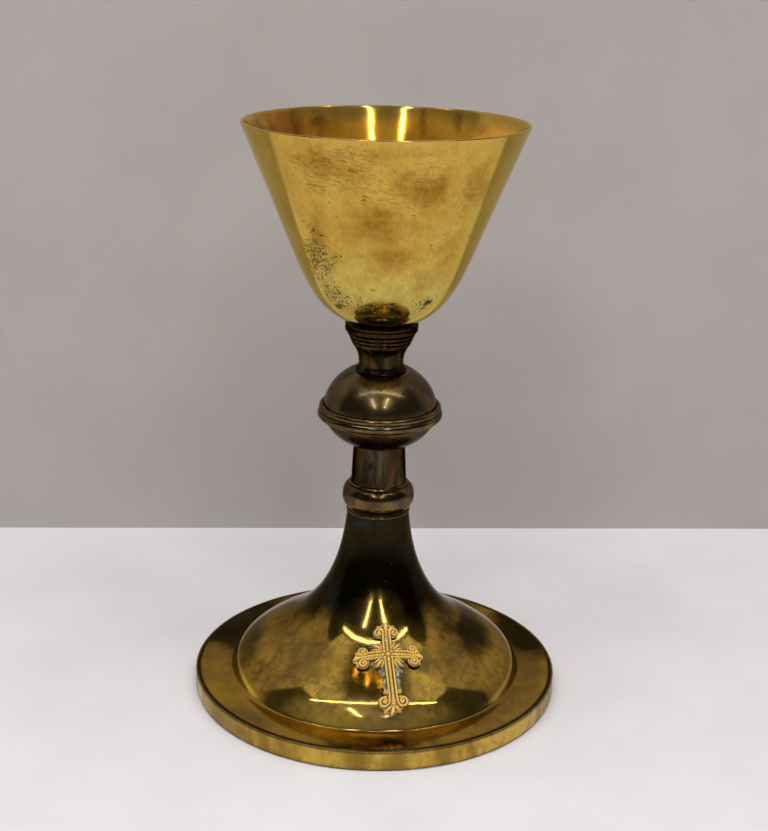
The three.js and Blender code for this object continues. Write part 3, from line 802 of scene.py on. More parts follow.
def solder_finish():
    """Solder: dull grey, crusted."""
    made = Finish("grey_solder", metallic=0.25)
    patches = made.cloud(grain=0.6, low=0.4, high=0.6)
    made.colour = made.mixed(patches, (0.58, 0.53, 0.4), (0.22, 0.18, 0.09))
    # Painted shade in the solder's hollows, along its outline and down its side walls.
    made.tint(made.attribute("groove") * 0.8, (0.06, 0.05, 0.03))
    fine = made.noisy(made.place, 2.2, 4.0)
    return made.done(made.spread(fine, 0.3, 0.7, 0.35, 0.6), fine, 0.12)


def steel_finish():
    """The rod and its nut: plain steel, browned and spotted with rust."""
    made = Finish("dull_steel")
    rust = made.cloud(grain=0.3, low=0.52, high=0.7)
    made.colour = made.mixed(rust, (0.4, 0.39, 0.37), (0.16, 0.085, 0.04))
    made.tint(made.attribute("groove") * 0.6, (0.05, 0.04, 0.03))
    return made.done(rust * 0.35 + 0.32, made.lathe_rings(4.0) + rust * 0.6, 0.02)


GILT = gilt_finish()
FOOT = foot_finish()
RIM = rim_finish()
CAST = cast_finish()
SOLDER = solder_finish()
STEEL = steel_finish()
BEADS = brass_finish("polished_beads", (0.24, 0.14, 0.03), (0.06, 0.034, 0.012), (0.008, 0.006, 0.004), 0.36,
                     grain=0.14, depth=1.6, patina=0.35, coat=0.3)
KNOP = brass_finish("knop_tarnish", (0.17, 0.115, 0.035), (0.065, 0.042, 0.016), (0.01, 0.008, 0.006), 0.42,
                    grain=0.07, depth=1.6, dulled=0.09, patina=0.25, coat=0.35)
# A darker copy of the knop's finish for its lower half: painted shade on the underside.
KNOP_SHADED_UNDERSIDE = brass_finish("knop_under_tarnish", (0.1, 0.066, 0.02), (0.04, 0.026, 0.01),
                          (0.01, 0.008, 0.006), 0.42, grain=0.07, depth=1.6, dulled=0.09, patina=0.2,
                          coat=0.2)
STEM = brass_finish("stem_tarnish", (0.05, 0.034, 0.015), (0.014, 0.01, 0.006), (0.005, 0.004, 0.003), 0.4,
                    streak=(1, 1, 0.3), grain=0.13, depth=1.5, patina=0.6)
SEAT = brass_finish("seat_tarnish", (0.06, 0.035, 0.01), (0.014, 0.009, 0.004), (0.003, 0.002, 0.0015), 0.3,
                    grain=0.3, depth=1.5, patina=0.2)
TURNED_BRASS = brass_finish("turned_brass", (0.55, 0.4, 0.14), (0.38, 0.25, 0.08), (0.1, 0.07, 0.03), 0.6,
                            grain=0.4, depth=0.6, grazing=(1, 1, 1))


# Turned pieces


def dome_line(steps):
    """The dome and flare of the foot, from the dome's lower edge up to the throat."""
    edge = point(DOME_RADIUS + DOME_SWELL, RIM_HEIGHT + COVE_RISE)
    shoulder = point(SHOULDER_RADIUS, SHOULDER_HEIGHT)
    throat = point(THROAT_RADIUS, FOOT_HEIGHT)
    along = point(math.cos(SHOULDER_SLOPE), -math.sin(SHOULDER_SLOPE))
    down = point(math.sin(THROAT_LEAN), -math.cos(THROAT_LEAN))
    dome = curve(edge, DOME_PULL, along * SHOULDER_PULL, shoulder, steps)
    flare = curve(shoulder, along * -FLARE_PULL, down * THROAT_PULL, throat, steps)
    return dome + flare[1:]


def foot_shell_line():
    edge = FOOT_RADIUS - LIP_WIDTH - FIT
    cove = curve(point(DOME_RADIUS + COVE_REACH, RIM_HEIGHT), point(-0.75, 0), point(0.2, -0.5),
                 dome_line(4)[0], 14)
    outside = [point(edge, RIM_HEIGHT), point(edge - 0.4, RIM_HEIGHT)] + cove + dome_line(70)[1:]
    inside = offset_line(outside, FOOT_SHEET)
    inside[0] = point(edge, RIM_HEIGHT - FOOT_SHEET)
    inside[-1] = point(THROAT_RADIUS - FOOT_SHEET, FOOT_HEIGHT)
    return outside + inside[::-1]


def rim_band_line():
    ledge, lip = RIM_HEIGHT - FOOT_SHEET, FOOT_RADIUS - LIP_WIDTH
    inner, reach = FOOT_RADIUS - RIM_WALL, FOOT_RADIUS - LEDGE_REACH
    return rounded([
        (inner, 0, 0.3), (FOOT_RADIUS, 0, 0.6), (FOOT_RADIUS, RIM_HEIGHT, 0.4), (lip, RIM_HEIGHT, 0.2),
        (lip, ledge, 0), (reach, ledge, 0.2), (reach, ledge - 0.6, 0.2), (inner, ledge - 2.2, 0.3)])


def bead_ring_line():
    """The bead over its fillet, with a spigot down into the foot and one up into the stem."""
    foot, low, high = FOOT_HEIGHT, FOOT_HEIGHT - SPIGOT, STEM_FOOT + SPIGOT
    fillet = 0.3
    return [
        point(ROD_HOLE, low), point(FOOT_SPIGOT_RADIUS, low), point(FOOT_SPIGOT_RADIUS, foot),
        *arc(THROAT_RADIUS + 0.05, foot + fillet, 0.35, fillet, -90, 90, 8),
        *arc(BEAD_RADIUS - BEAD_HALF_WIDTH, BEAD_MIDDLE, BEAD_HALF_WIDTH, BEAD_HALF_HEIGHT, -80, 80, 40),
        point(10.25, STEM_FOOT), point(STEM_SPIGOT_RADIUS, STEM_FOOT), point(STEM_SPIGOT_RADIUS, high),
        point(ROD_HOLE, high)]


def stem_tube_line():
    bore, foot, top, sheet = STEM_SPIGOT_RADIUS + FIT, 9.85, 9.2, 1.2
    return rounded([(bore, STEM_FOOT, 0), (foot, STEM_FOOT, 0.1), (top, STEM_TOP, 0.1),
                    (top - sheet, STEM_TOP, 0)])


def knop_shell_line(end_radius, height, direction):
    """Half of the knop, from its middle to a flat end of that radius, up or down."""
    half_height = height / math.sqrt(1 - (end_radius / KNOP_RADIUS) ** 2)
    end = math.degrees(math.asin(height / half_height))
    outside = arc(0, 0, KNOP_RADIUS, half_height, 0, end, 60)
    inside = offset_line(outside, KNOP_SHEET)
    inside[0] = point(KNOP_RADIUS - KNOP_SHEET, 0)
    inside[-1] = point(inside[-1].x, height - KNOP_SHEET)
    half = outside + [point(ROD_HOLE, height), point(ROD_HOLE, height - KNOP_SHEET)] + inside[::-1]
    return [point(p.x, KNOP_MIDDLE + direction * p.y) for p in half]


def knop_band_line():
    """Two beads over the joint of the knop's halves, the lower one bolder."""
    centre, bold, slight = KNOP_RADIUS + 0.25, 1.75, 1.25
    upper, lower = KNOP_MIDDLE + 0.975, KNOP_MIDDLE - 1.475
    return [
        point(19.75, lower - 1.575), *arc(centre, lower, bold, bold, -64, 52, 26),
        *arc(centre, upper, slight, slight, -38, 64, 20), point(20.1, upper + 1.125),
        point(KNOP_RADIUS + FIT, KNOP_MIDDLE)]


def neck_line():
    """The neck from its foot up over the waist to three reeds under its flat top."""
    waist, foot = point(7.8, KNOP_TOP + 3), point(8.1, KNOP_TOP + 0.7)
    flare = point(9.95, NECK_TOP - 4.6)
    line = [point(ROD_HOLE, KNOP_TOP), *arc(8.6, KNOP_TOP + 0.3, 0.3, 0.3, -90, 90, 8)]
    line += curve(foot, point(0, 0.5), point(0, -1), waist, 10)
    line += curve(waist, point(0, 2.6), point(-1.5, -2.3), flare, 26)[1:]
    for i, radius in enumerate(REED_RADII):
        level = NECK_TOP - REED_HEIGHT * (len(REED_RADII) - i)
        line += [point(radius - 0.5, level), *arc(radius - 0.45, level + 0.72, 0.45, 0.62, -80, 80, 12),
                 point(radius - 0.35, level + 1.42)]
    return line + [point(11.3, NECK_TOP), point(SOCKET_RADIUS, NECK_TOP), point(SOCKET_RADIUS, SOCKET_FLOOR),
                   point(ROD_HOLE, SOCKET_FLOOR)]


def seat_ring_line():
    """A flat ring with a fine groove round it and a lip that holds the bowl."""
    bore, edge = 9, SEAT_RADIUS
    corners = [(bore, 0, 0), (edge, 0, 0.4), (edge, 1.5, 0.15), (edge - 0.25, 1.75, 0.1), (edge, 2, 0.15),
               (edge, 2.8, 0.35), (edge - 0.6, 2.7, 0.3), (bore, 2.1, 0)]
    return rounded([(r, SEAT_LEVEL + z, size) for r, z, size in corners])


def bowl_line():
    """The bowl from the middle of its foot up to the rim and back down inside."""
    seat, cone = point(BOWL_SEAT_RADIUS, BOWL_FOOT), point(CONE_RADIUS, BOWL_FOOT + CONE_RISE)
    rim = point(BOWL_RADIUS, BOWL_RIM)
    side = (rim - cone).normalized()
    out = point(math.cos(BOWL_LEAN), math.sin(BOWL_LEAN))
    bottom = curve(seat, out * 8, side * -20, cone, 60)
    outside = bottom + [rim - side * 0.45]
    inside = offset_line(bottom + [rim], BOWL_WALL)
    inside[0] = point(BOWL_SEAT_RADIUS, BOWL_FOOT + BOWL_WALL)
    inner_rim = inside.pop()
    lip = curve(outside[-1], side * 0.45, side * 0.45, inner_rim - side * 0.45 - side * 0.1, 8)[1:]
    lip = [point(p.x, min(p.y, BOWL_RIM)) for p in lip]
    return [point(0, BOWL_FOOT)] + outside + lip + inside[::-1] + [point(0, BOWL_FOOT + BOWL_WALL)]


def washer_line():
    """A dished washer whose outer part stands higher than its middle."""
    top, hub, edge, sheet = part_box("clamp_washer")[1].z / MM, 8.6, 14, 1.5
    return rounded([(ROD_HOLE, top - 2 - sheet, 0.1), (hub, top - 2 - sheet, 0.8), (edge, top - sheet, 0.3),
                    (edge, top, 0.3), (hub, top - 2, 0.8), (ROD_HOLE, top - 2, 0.1)])


turned("foot_rim", rim_band_line(), WIDE_SIDES, RIM, "stem_and_foot", "foot_rim_band", "rim_brass")
turned("foot", foot_shell_line(), WIDE_SIDES, FOOT, "stem_and_foot", "foot_shell", "aged_brass",
       step=1.0, reach=1.2)
turned("bead_ring", bead_ring_line(), STEM_SIDES, BEADS, "stem_and_foot", "stem_bead_ring", "aged_brass",
       step=0.4)
turned("stem", stem_tube_line(), STEM_SIDES, STEM, "stem_and_foot", "stem_tube", "dark_brass")
turned("knop_lower", knop_shell_line(*KNOP_FOOT_END, -1), STEM_SIDES, KNOP_SHADED_UNDERSIDE, "stem_and_foot",
       "knop_lower_shell", "aged_brass")
turned("knop_upper", knop_shell_line(*KNOP_TOP_END, 1), STEM_SIDES, KNOP, "stem_and_foot",
       "knop_upper_shell", "aged_brass")
turned("knop_beads", knop_band_line(), STEM_SIDES, BEADS, "stem_and_foot", "knop_band", "aged_brass",
       step=0.25, reach=0.7)
turned("neck", neck_line(), STEM_SIDES, STEM, "stem_and_foot", "upper_neck", "dark_brass",
       step=0.3, reach=0.6)
turned("seat_ring_turned", seat_ring_line(), STEM_SIDES, SEAT, "seat_ring", "cup_seat_ring", "dark_brass",
       step=0.3)
turned("cup_bowl", bowl_line(), WIDE_SIDES, GILT, "cup", "bowl", "gilt", closed=False, step=1.0, reach=0.8)
turned("washer", washer_line(), STEM_SIDES, TURNED_BRASS, "washer", "clamp_washer", "raw_brass", step=0.4)


# Threaded pieces


def threaded(name, line, finish, start, end, body, node_name):
    """A turned bar with a thread between two levels."""
    bar = turned_mesh(name + "_bar", line, ROD_SIDES, finish, closed=False, step=0.2, reach=0.5)
    values = {"Pitch": THREAD_PITCH * MM, "Depth": THREAD_DEPTH * MM, "Radius": THREAD_RADIUS * MM,
              "From": start * MM, "To": end * MM, "Finish": finish}
    finished(name, grown(name, bar, THREAD, values), body, [node_name])


rod_low, rod_high = (corner.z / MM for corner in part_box("tie_rod"))
rod_tip = THREAD_RADIUS - CHAMFER
rod_line = [point(0, rod_low), point(rod_tip, rod_low), point(THREAD_RADIUS, rod_low + CHAMFER),
            point(THREAD_RADIUS, rod_high - CHAMFER), point(rod_tip, rod_high), point(0, rod_high)]
threaded("rod", rod_line, STEEL, rod_low, rod_high, "stem_and_foot", "tie_rod")
stud_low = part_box("bowl_stud")[0].z / MM
stud_line = [point(0, stud_low), point(rod_tip, stud_low), point(THREAD_RADIUS, stud_low + CHAMFER),
             point(THREAD_RADIUS, SEAT_LEVEL), point(STUD_FLANGE_RADIUS, SEAT_LEVEL),
             point(STUD_FLANGE_RADIUS, BOWL_FOOT), point(0, BOWL_FOOT)]
threaded("stud", stud_line, TURNED_BRASS, stud_low, SEAT_LEVEL - 0.6, "cup", "bowl_stud")


def nut_mesh(bottom, top, flats, chamfer, bore, sides=96, levels=24):
    """A hexagon nut whose corners are turned off by a cone at both ends."""
    sixth = math.pi / 3
    turns = [math.tau * i / sides for i in range(sides)]
    half = flats / 2
    rings = []
    for k in range(levels + 1):
        z = bottom + (top - bottom) * k / levels
        cone = half / math.cos(sixth / 2) - chamfer + min(z - bottom, top - z) * 2
        rings.append([(min(half / math.cos((turn + sixth / 2) % sixth - sixth / 2), cone), z)
                      for turn in turns])
    wide = bore + BORE_CHAMFER
    for r, z in ((wide, top), (bore, top - BORE_CHAMFER), (bore, bottom + BORE_CHAMFER), (wide, bottom)):
        rings.append([(r, z)] * sides)
    made = bmesh.new()
    rings = [[made.verts.new((r * math.cos(turn) * MM, r * math.sin(turn) * MM, z * MM))
              for turn, (r, z) in zip(turns, ring)] for ring in rings]
    for a, b in zip(rings, rings[1:] + rings[:1]):
        for i in range(sides):
            j = (i + 1) % sides
            made.faces.new((a[i], a[j], b[j], b[i]))
    mesh = bpy.data.meshes.new("nut")
    made.to_mesh(mesh)
    made.free()
    mesh.materials.append(STEEL)
    for label in ("edge", "groove"):
        give_attribute(mesh, label, [0.0] * len(mesh.vertices))
    return mesh


nut_low, nut_high = (corner.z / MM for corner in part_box("lock_nut"))
nut = finished("nut_hex", nut_mesh(nut_low, nut_high, NUT_FLATS, NUT_CHAMFER, ROD_HOLE), "nut",
               ["lock_nut"])
nut.data.set_sharp_from_angle(angle=math.radians(25))


# The cross: a cast relief laid over the dome

RELIEF_STEP = 0.13  # millimetres between the relief's points
DOME = np.array([tuple(p) for p in dome_line(90)])[::-1]


def dome_height(radius):
    return np.interp(radius, DOME[:, 0], DOME[:, 1])


def on_dome(x, y, above):
    """Points of the cross's own plane, carried along its normal to a height above the dome."""
    flat = np.stack([x, y * math.cos(CROSS_TILT) - CROSS_RADIUS,
                     y * math.sin(CROSS_TILT) + dome_height(CROSS_RADIUS)], -1)
    normal = np.array([0, -math.sin(CROSS_TILT), math.cos(CROSS_TILT)])
    low, high = np.full(x.shape, -9.0), np.full(x.shape, 9.0)
    for _ in range(34):
        middle = (low + high) / 2
        at = flat + middle[..., None] * normal
        outside = at[..., 2] > dome_height(np.hypot(at[..., 0], at[..., 1]))
        high, low = np.where(outside, middle, high), np.where(outside, low, middle)
    at = flat + ((low + high) / 2)[..., None] * normal
    radius = np.hypot(at[..., 0], at[..., 1])
    slope = (dome_height(radius + 0.4) - dome_height(radius - 0.4)) / 0.8
    out = np.stack([-slope * at[..., 0] / radius, -slope * at[..., 1] / radius, np.ones_like(radius)], -1)
    out /= np.linalg.norm(out, axis=-1, keepdims=True)
    x, y, z = np.moveaxis(at + above[..., None] * out, -1, 0)
    cos, sin = math.cos(CROSS_AZIMUTH), math.sin(CROSS_AZIMUTH)
    return np.stack([x * cos - y * sin, x * sin + y * cos, z], -1)


def to_line(x, y, line):
    """Distance from each point to a chain of straight stretches, and how far along it that is."""
    best, along, run = np.full(x.shape, 1e9), np.zeros_like(x), 0.0
    for (ax, ay), (bx, by) in zip(line, line[1:]):
        dx, dy = bx - ax, by - ay
        length = math.hypot(dx, dy)
        t = np.clip(((x - ax) * dx + (y - ay) * dy) / length**2, 0, 1)
        away = np.hypot(x - ax - t * dx, y - ay - t * dy)
        along = np.where(away < best, run + t * length, along)
        best = np.minimum(best, away)
        run += length
    return best, along


def to_petal(x, y, cx, cy, turn, half_length, half_width):
    """Roughly how far outside a long oval a point lies."""
    c, s = math.cos(turn), math.sin(turn)
    u, v = (x - cx) * c + (y - cy) * s, (y - cy) * c - (x - cx) * s
    k = np.sqrt((u / half_length) ** 2 + (v / half_width) ** 2)
    return (k - 1) * min(half_length, half_width)


def blended(a, b, size):
    """The nearer of two distances, run together smoothly like a casting."""
    h = np.clip(0.5 + (b - a) / (2 * size), 0, 1)
    return b + (a - b) * h - size * h * (1 - h)


def cord_height(distance, half_width, rise):
    return rise * np.sqrt(np.clip(1 - (distance / half_width) ** 2, 0, 1))


def rope(x, y, line, half_width, rise):
    """A cord along a line, with the slight swell of its strands."""
    away, along = to_line(x, y, line)
    return cord_height(away, half_width, rise) * (1 + 0.16 * np.cos(math.tau * along))


def leaf_height(outside, rise, rounding, power=0.5):
    """A leaf that rounds up from its edge."""
    return rise * np.clip(-outside / rounding, 0, 1) ** power


def seen_along(x, y, angle):
    """How far each point lies out in a direction, and how far to its left."""
    c, s = math.cos(math.radians(angle)), math.sin(math.radians(angle))
    return x * c + y * s, y * c - x * s


ARMS = [  # angle, length, the buds' spread and setback, scroll radius
    (90, 12.6, 2.6, 4.0, 1.5),
    (0, 12.3, 2.45, 3.8, 1.5),
    (180, 12.3, 2.45, 3.8, 1.5),
    (270, 22.9, 3.2, 4.9, 1.8)]
ARM_HALF_WIDTH = 1.8
RAIL_OUT = 1.2  # from the middle of an arm to its rails
HEART_RADIUS = 2.6
RAIL, BOSS, CURL = (0.37, 0.6), (0.55, 0.75), (0.28, 0.45)  # half width and height
CURL_OUT, CURL_LEVEL = 2.35, -14.6  # the two curls on the sides of the lower arm
LOBES = [  # of the leaf between two arms: place, turn, half length, half width
    (4.1, 0, 0, 1.7, 0.55), (3.75, 0.95, 0.4, 1.3, 0.45), (3.75, -0.95, -0.4, 1.3, 0.45)]
SIDES = -1, 1


def sag(x):
    """How far the side arms bend down."""
    return 1.82 / 12.3**2 * np.clip(np.abs(x) - 2, 0, None) ** 2


def scroll(bud, spread, radius, side):
    """A rail that leaves the middle, rounds the bud from inside and winds in to its boss."""
    line = [(1.9, RAIL_OUT * side), (bud - 2.2, RAIL_OUT * side)]
    for i in range(41):
        turn = math.radians(-90 + 10.5 * i)
        r = radius * (1 - 0.66 * i / 40)
        line.append((bud + r * math.cos(turn), side * (spread + r * math.sin(turn))))
    return line


class Casting:
    """A relief in the making: how far outside its outline each point lies, and its height there."""

    def __init__(self, x, y):
        self.outside = np.hypot(x, y) - HEART_RADIUS
        self.relief = np.zeros_like(x)

    def widen(self, outside, blend):
        self.outside = blended(self.outside, outside, blend)

    def raised(self, height):
        self.relief = np.maximum(self.relief, height)

    def arm(self, u, v, length, spread, setback, radius):
        """A bar between two rails, its bud with two scrolls, two leaves and a tip."""
        bud = length - setback
        self.widen(np.maximum(np.abs(v) - ARM_HALF_WIDTH, np.maximum(-u, u - bud)), 0.6)
        self.widen(to_petal(u, v, bud + 0.6, 0, 0, setback * 0.58, spread + 0.9), 0.9)
        for side in SIDES:
            to_boss = np.hypot(u - bud, v - side * spread)
            self.widen(to_boss - radius - 0.35, 0.8)
            self.raised(rope(u, v, scroll(bud, spread, radius, side), *RAIL))
            self.raised(cord_height(to_boss, *BOSS))
            petal = to_petal(u, v, length - 2.7, side * 1.35, side * 0.85, 1.25, 0.5)
            self.widen(petal - 0.35, 0.6)
            self.raised(leaf_height(petal, 0.55, 0.4))
        self.widen(to_petal(u, v, length - 2.3, 0, 0, 2.3, 1.25), 0.9)
        self.raised(leaf_height(to_petal(u, v, length - 1.85, 0, 0, 1.7, 0.75), 0.7, 0.5))
        channel = (np.abs(v) < 0.8) & (u > 2.2) & (u < bud + 0.2)
        self.relief = np.where(channel & (self.relief < 0.05), -0.2, self.relief)

    def curl(self, x, y, side):
        self.widen(np.hypot(x - side * CURL_OUT, y - CURL_LEVEL) - 0.95, 0.7)
        turns, radii = np.radians(np.linspace(-60, 330, 26)), np.linspace(0.75, 0.3, 26)
        line = zip(side * (CURL_OUT - radii * np.cos(turns)), CURL_LEVEL + radii * np.sin(turns))
        self.raised(rope(x, y, list(line), *CURL))

    def corner_leaf(self, u, v):
        self.widen(to_petal(u, v, 3.9, 0, 0, 1.9, 1.35), 0.3)
        for lobe in LOBES:
            outside = to_petal(u, v, *lobe)
            self.widen(outside - 0.25, 0.25)
            self.raised(leaf_height(outside, 0.55, 0.35, 0.6))

    def flower(self, x, y):
        """Eight petals in a dish round a boss."""
        radius = np.hypot(x, y)
        petals = 0.5 + 0.5 * np.cos(8 * np.arctan2(y, x))
        height = np.clip(1 - np.abs(radius - 1.6) / 0.7, 0, 1) ** 0.5 * (0.25 + 0.75 * petals)
        self.relief = np.where(radius < 2.35, 0.15 + 0.6 * height, self.relief)
        self.raised(cord_height(radius, 0.85, 0.85) * (radius < 0.85))


def cross_top(x, y):
    """How far outside the cross's outline each point lies, and the height of its face there."""
    y = y + sag(x)
    x = x + 0.27 * np.clip(-18.9 - y, 0, None)  # the foot of the lower arm leans
    cast = Casting(x, y)
    for angle, *sizes in ARMS:
        cast.arm(*seen_along(x, y, angle), *sizes)
    for side in SIDES:
        cast.curl(x, y, side)
    for angle in (45, 135, 225, 315):
        cast.corner_leaf(*seen_along(x, y, angle))
    cast.flower(x, y)
    into = np.clip(-cast.outside / 0.55, 0, 1)
    top = PLATE_FOOT + 0.35 + (PLATE_TOP - PLATE_FOOT - 0.75) * np.sqrt(1 - (1 - into) ** 2)
    return cast.outside, top + 1.5 * cast.relief * np.clip(-cast.outside / 0.3, 0, 1)


SOLDER_LUMPS = [  # place, size, rise
    (-4.8, 3.0, 1.9, 1.0), (5.0, 2.9, 1.9, 1.0), (-3.4, -4.4, 1.5, 0.6), (4.0, -5.0, 1.9, 0.8),
    (2.9, -8.0, 1.2, 0.8), (2.6, -11.3, 1.0, 0.7), (-2.2, -7.5, 0.9, 0.8), (-2.2, -10.5, 0.9, 0.6)]


def rough_field(x, y, scale, level):
    return np.array([[noise.noise(Vector((a * scale, b * scale, level))) for b in y[0]] for a in x[:, 0]])


def solder_top(x, y):
    """Solder in lumps between the arms, thinning out to nothing at its ragged edge."""
    rough, fine = rough_field(x, y, 0.55, 3.0), rough_field(x, y, 2.1, 7.0)
    pad = np.hypot(x / 1.12, y) - 5.9
    wide = 2.9 + 1.6 * np.clip((y + 9) / 5, 0, 1)
    strip = np.maximum(np.abs(x - 0.5) - wide, np.maximum(y, -13.6 - y))
    outside = blended(pad, strip, 0.8) + rough * 1.3 + fine * 0.3
    lumps = sum(rise * np.exp(-((x - cx) ** 2 + (y - cy) ** 2) / size**2)
                for cx, cy, size, rise in SOLDER_LUMPS)
    into = np.clip(-outside / 1.1, 0, 1)
    return outside, 0.06 + into * (0.4 + lumps + 0.25 * fine + 0.15 * rough)


def smoothed(field, times):
    for _ in range(times):
        field = (field + np.roll(field, 1, 0) + np.roll(field, -1, 0) + np.roll(field, 1, 1)
                 + np.roll(field, -1, 1)) / 5
    return field


def laid_mesh(name, fields, reach, foot, finish):
    """A closed slab over the dome with the outline and the height that fields gives."""
    x, y = np.meshgrid(*(np.arange(low, high, RELIEF_STEP) for low, high in reach), indexing="ij")
    outside, top = fields(x, y)
    gx, gy = np.gradient(outside, RELIEF_STEP)
    length = np.maximum(np.hypot(gx, gy), 0.3)
    near = outside > -0.5 * RELIEF_STEP
    x = np.where(near, x - outside * gx / length**2, x)
    y = np.where(near, y - outside * gy / length**2, y)
    keep = outside < 0.62 * RELIEF_STEP
    i, j = np.nonzero(keep[:-1, :-1] & keep[1:, :-1] & keep[1:, 1:] & keep[:-1, 1:])
    corners = np.stack([np.stack([i + di, j + dj], 1) for di, dj in ((0, 0), (1, 0), (1, 1), (0, 1))], 1)
    used = np.unique(corners.reshape(-1, 2), axis=0)
    at, n = (used[:, 0], used[:, 1]), len(used)
    number = np.full(x.shape, -1)
    number[at] = np.arange(n)
    upper = on_dome(x[at], y[at], top[at])
    lower = on_dome(x[at], y[at], np.full(n, foot))
    faces = number[corners[..., 0], corners[..., 1]]
    edges = np.concatenate([faces[:, [k, (k + 1) % 4]] for k in range(4)])
    paired = {tuple(e) for e in edges.tolist()}
    walls = [(a, b, b + n, a + n)[::-1] for a, b in paired if (b, a) not in paired]
    mesh = bpy.data.meshes.new(name)
    mesh.from_pydata((np.concatenate([upper, lower]) * MM).tolist(), [],
                     faces.tolist() + (faces[:, ::-1] + n).tolist() + walls)
    # The edge attribute marks the high places and the groove attribute the hollows, the outline and the side
    # walls, full at their foot: the finishes paint highlights and shade with them.
    rise = top - smoothed(top, 14)
    painted_shade = np.maximum(np.clip(-rise * 11, 0, 1), 0.8 * np.clip(1 + outside / 0.3, 0, 1))
    for label, values, below in (("edge", np.clip(rise * 4, 0, 1), 0), ("groove", painted_shade, 1)):
        give_attribute(mesh, label, np.concatenate([values[at], np.full(n, below)]))
    mesh.materials.append(finish)
    return mesh


cross_mesh = laid_mesh("cast_cross", cross_top, ((-13.2, 13.2), (-24.2, 12.6)), PLATE_FOOT, CAST)
finished("cast_cross", cross_mesh, "stem_and_foot", ["cross"])
solder_mesh = laid_mesh("solder", solder_top, ((-8.5, 8.5), (-16, 8.5)), 0.02, SOLDER)
finished("solder", solder_mesh, "stem_and_foot", ["cross_solder"])


def bead_lines(steps=24):
    """Lines down the middle of the arms, laid over the dome, as edges."""
    places, edges = [], []
    for angle, length, _, setback, _ in ARMS:
        c, s = math.cos(math.radians(angle)), math.sin(math.radians(angle))
        along = np.linspace(2.8, length - setback + 0.1, steps)
        at = on_dome(along * c, along * s - sag(along * c), np.full(steps, PLATE_TOP - 0.1))
        first = len(places)
        places += (at * MM).tolist()
        edges += [(first + k, first + k + 1) for k in range(steps - 1)]
    mesh = bpy.data.meshes.new("bead_lines")
    mesh.from_pydata(places, edges, [])
    return mesh


beads = grown("cross_beading", bead_lines(), BEADING,
              {"Pitch": 0.95 * MM, "Bead Radius": 0.48 * MM, "Finish": CAST})
# The beads take half of the cross's painted highlight and none of its painted shade.
for label, value in (("edge", 0.5), ("groove", 0.0)):
    give_attribute(beads, label, [value] * len(beads.vertices))
finished("cross_beading", beads, "stem_and_foot", [])


# Hidden pieces keep their solids, with a finish

for name in ("knop_core", "rod_coupling"):
    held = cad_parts[name]
    held.data.materials.clear()
    held.data.materials.append(TURNED_BRASS)


# Stage

STAGE_REACH = 4  # metres from the chalice to the side edges of the floor and the wall
WALL_AWAY = 146 * MM
WALL_TOP = 1.25
WALL_SKEW = STAGE_REACH * math.tan(math.radians(3.1))  # how far the wall's ends lie out of true


def stage_plane(name, corners, colour):
    """A plain surface of the studio. From behind it isn't seen, so that it never hides the chalice."""
    mesh = bpy.data.meshes.new(name)
    mesh.from_pydata(corners, [], [(0, 1, 2, 3)])
    made = bpy.data.objects.new(name, mesh)
    bpy.context.collection.objects.link(made)
    material = bpy.data.materials.new(name)
    material.use_nodes = True
    nodes = Nodes(material.node_tree)
    shader = nodes.tree.nodes["Principled BSDF"]
    shader.inputs["Roughness"].default_value = 0.85
    shade = nodes.spread(nodes.noisy(nodes.places(), 0.02, 4.0), 0.3, 0.7)
    deeper = tuple(part * 0.94 for part in colour)
    nodes.give(shader.inputs["Base Color"], nodes.mixed(shade, colour, deeper))
    clear = nodes.node("ShaderNodeBsdfTransparent").outputs[0]
    back = nodes.node("ShaderNodeNewGeometry").outputs["Backfacing"]
    both = nodes.node("ShaderNodeMixShader", {0: back, 1: shader.outputs[0], 2: clear})
    nodes.give(nodes.tree.nodes["Material Output"].inputs["Surface"], both.outputs[0])
    mesh.materials.append(material)


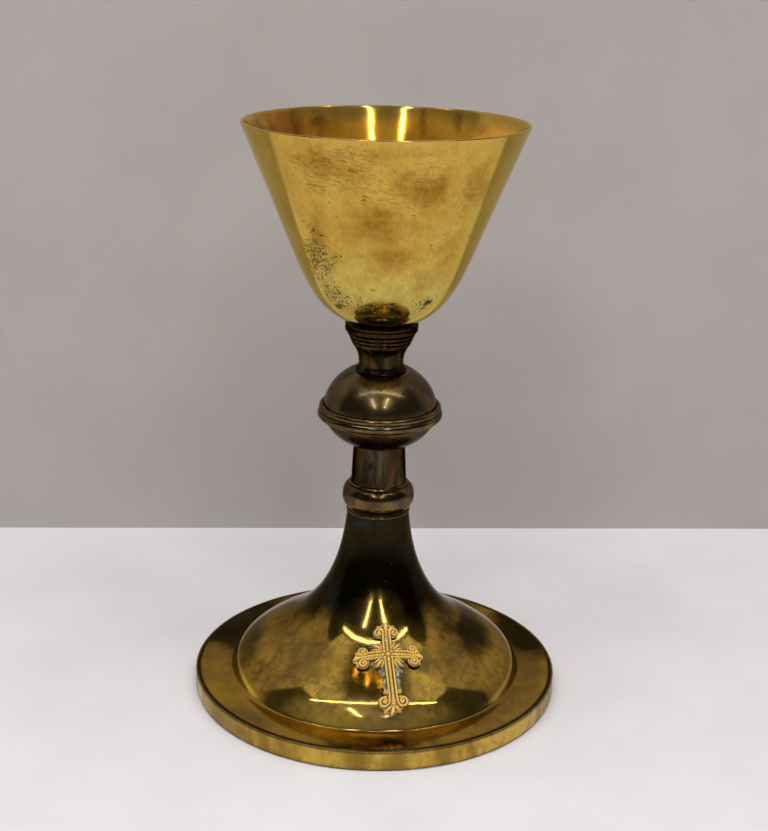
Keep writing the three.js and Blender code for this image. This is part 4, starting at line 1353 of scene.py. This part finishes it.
FLOOR_LEVEL, WALL_FOOT = -0.2 * MM, -MM
square = [(-1, -1), (1, -1), (1, 1), (-1, 1)]
stage_plane("floor", [(x * STAGE_REACH, y * STAGE_REACH, FLOOR_LEVEL) for x, y in square], (0.8, 0.78, 0.79))
stage_plane("backdrop", [(x * STAGE_REACH, WALL_AWAY + x * WALL_SKEW, WALL_TOP if z > 0 else WALL_FOOT)
                         for x, z in square], (0.53, 0.487, 0.46))


def lamp(name, place, size, power, in_mirrors=True):
    """A rectangular lamp that shines straight down. Sizes are in metres, the power in watts."""
    light = bpy.data.lights.new(name, "AREA")
    light.shape = "RECTANGLE"
    light.size, light.size_y = size
    light.energy = power
    made = bpy.data.objects.new(name, light)
    made.location = place
    made.visible_glossy = in_mirrors
    bpy.context.collection.objects.link(made)


lamp("left_tube", (-0.46, -1.7, 1.5), (0.045, 1.5), 9)
lamp("right_tube", (0.43, -1.7, 1.5), (0.045, 1.5), 9)
lamp("near_tube", (0, -0.52, 1.5), (2.3, 0.026), 7)
for side, direction in (("left", -1), ("right", 1)):
    lamp(side + "_glow", (direction * 0.73, 0.02, 1.5), (0.53, 0.75), 0.82)
    lamp(side + "_glow_edge", (direction * 0.43, 0.02, 1.5), (0.07, 0.75), 0.065)
    lamp(side + "_glow_fringe", (direction * 0.365, 0.02, 1.5), (0.06, 0.75), 0.025)
lamp("soft_ceiling", (0, -0.05, 2.0), (3.0, 2.2), 40, in_mirrors=False)

world = bpy.data.worlds.new("studio")
bpy.context.scene.world = world
world.use_nodes = True
background = world.node_tree.nodes["Background"].inputs
background["Color"].default_value = (0.9, 0.95, 1.0, 1)
background["Strength"].default_value = 0.07

SENSOR = 36  # millimetres
FOCAL_POINTS, PICTURE_HEIGHT = 1486, 831  # the focal length and the picture's long side, in its points
CAMERA_PLACE = (0.00144, -0.4981, 0.2643)
CAMERA_PITCH, CAMERA_ROLL = math.radians(72.012), math.radians(1.267)

lens = bpy.data.cameras.new("camera")
lens.sensor_width = SENSOR
lens.lens = FOCAL_POINTS / PICTURE_HEIGHT * SENSOR
camera = bpy.data.objects.new("camera", lens)
camera.location = CAMERA_PLACE
pitched = Matrix.Rotation(CAMERA_PITCH, 3, "X")
camera.rotation_euler = (pitched @ Matrix.Rotation(CAMERA_ROLL, 3, "Z")).to_euler()
bpy.context.collection.objects.link(camera)
bpy.context.scene.camera = camera
bpy.context.scene.view_settings.view_transform = "Standard"
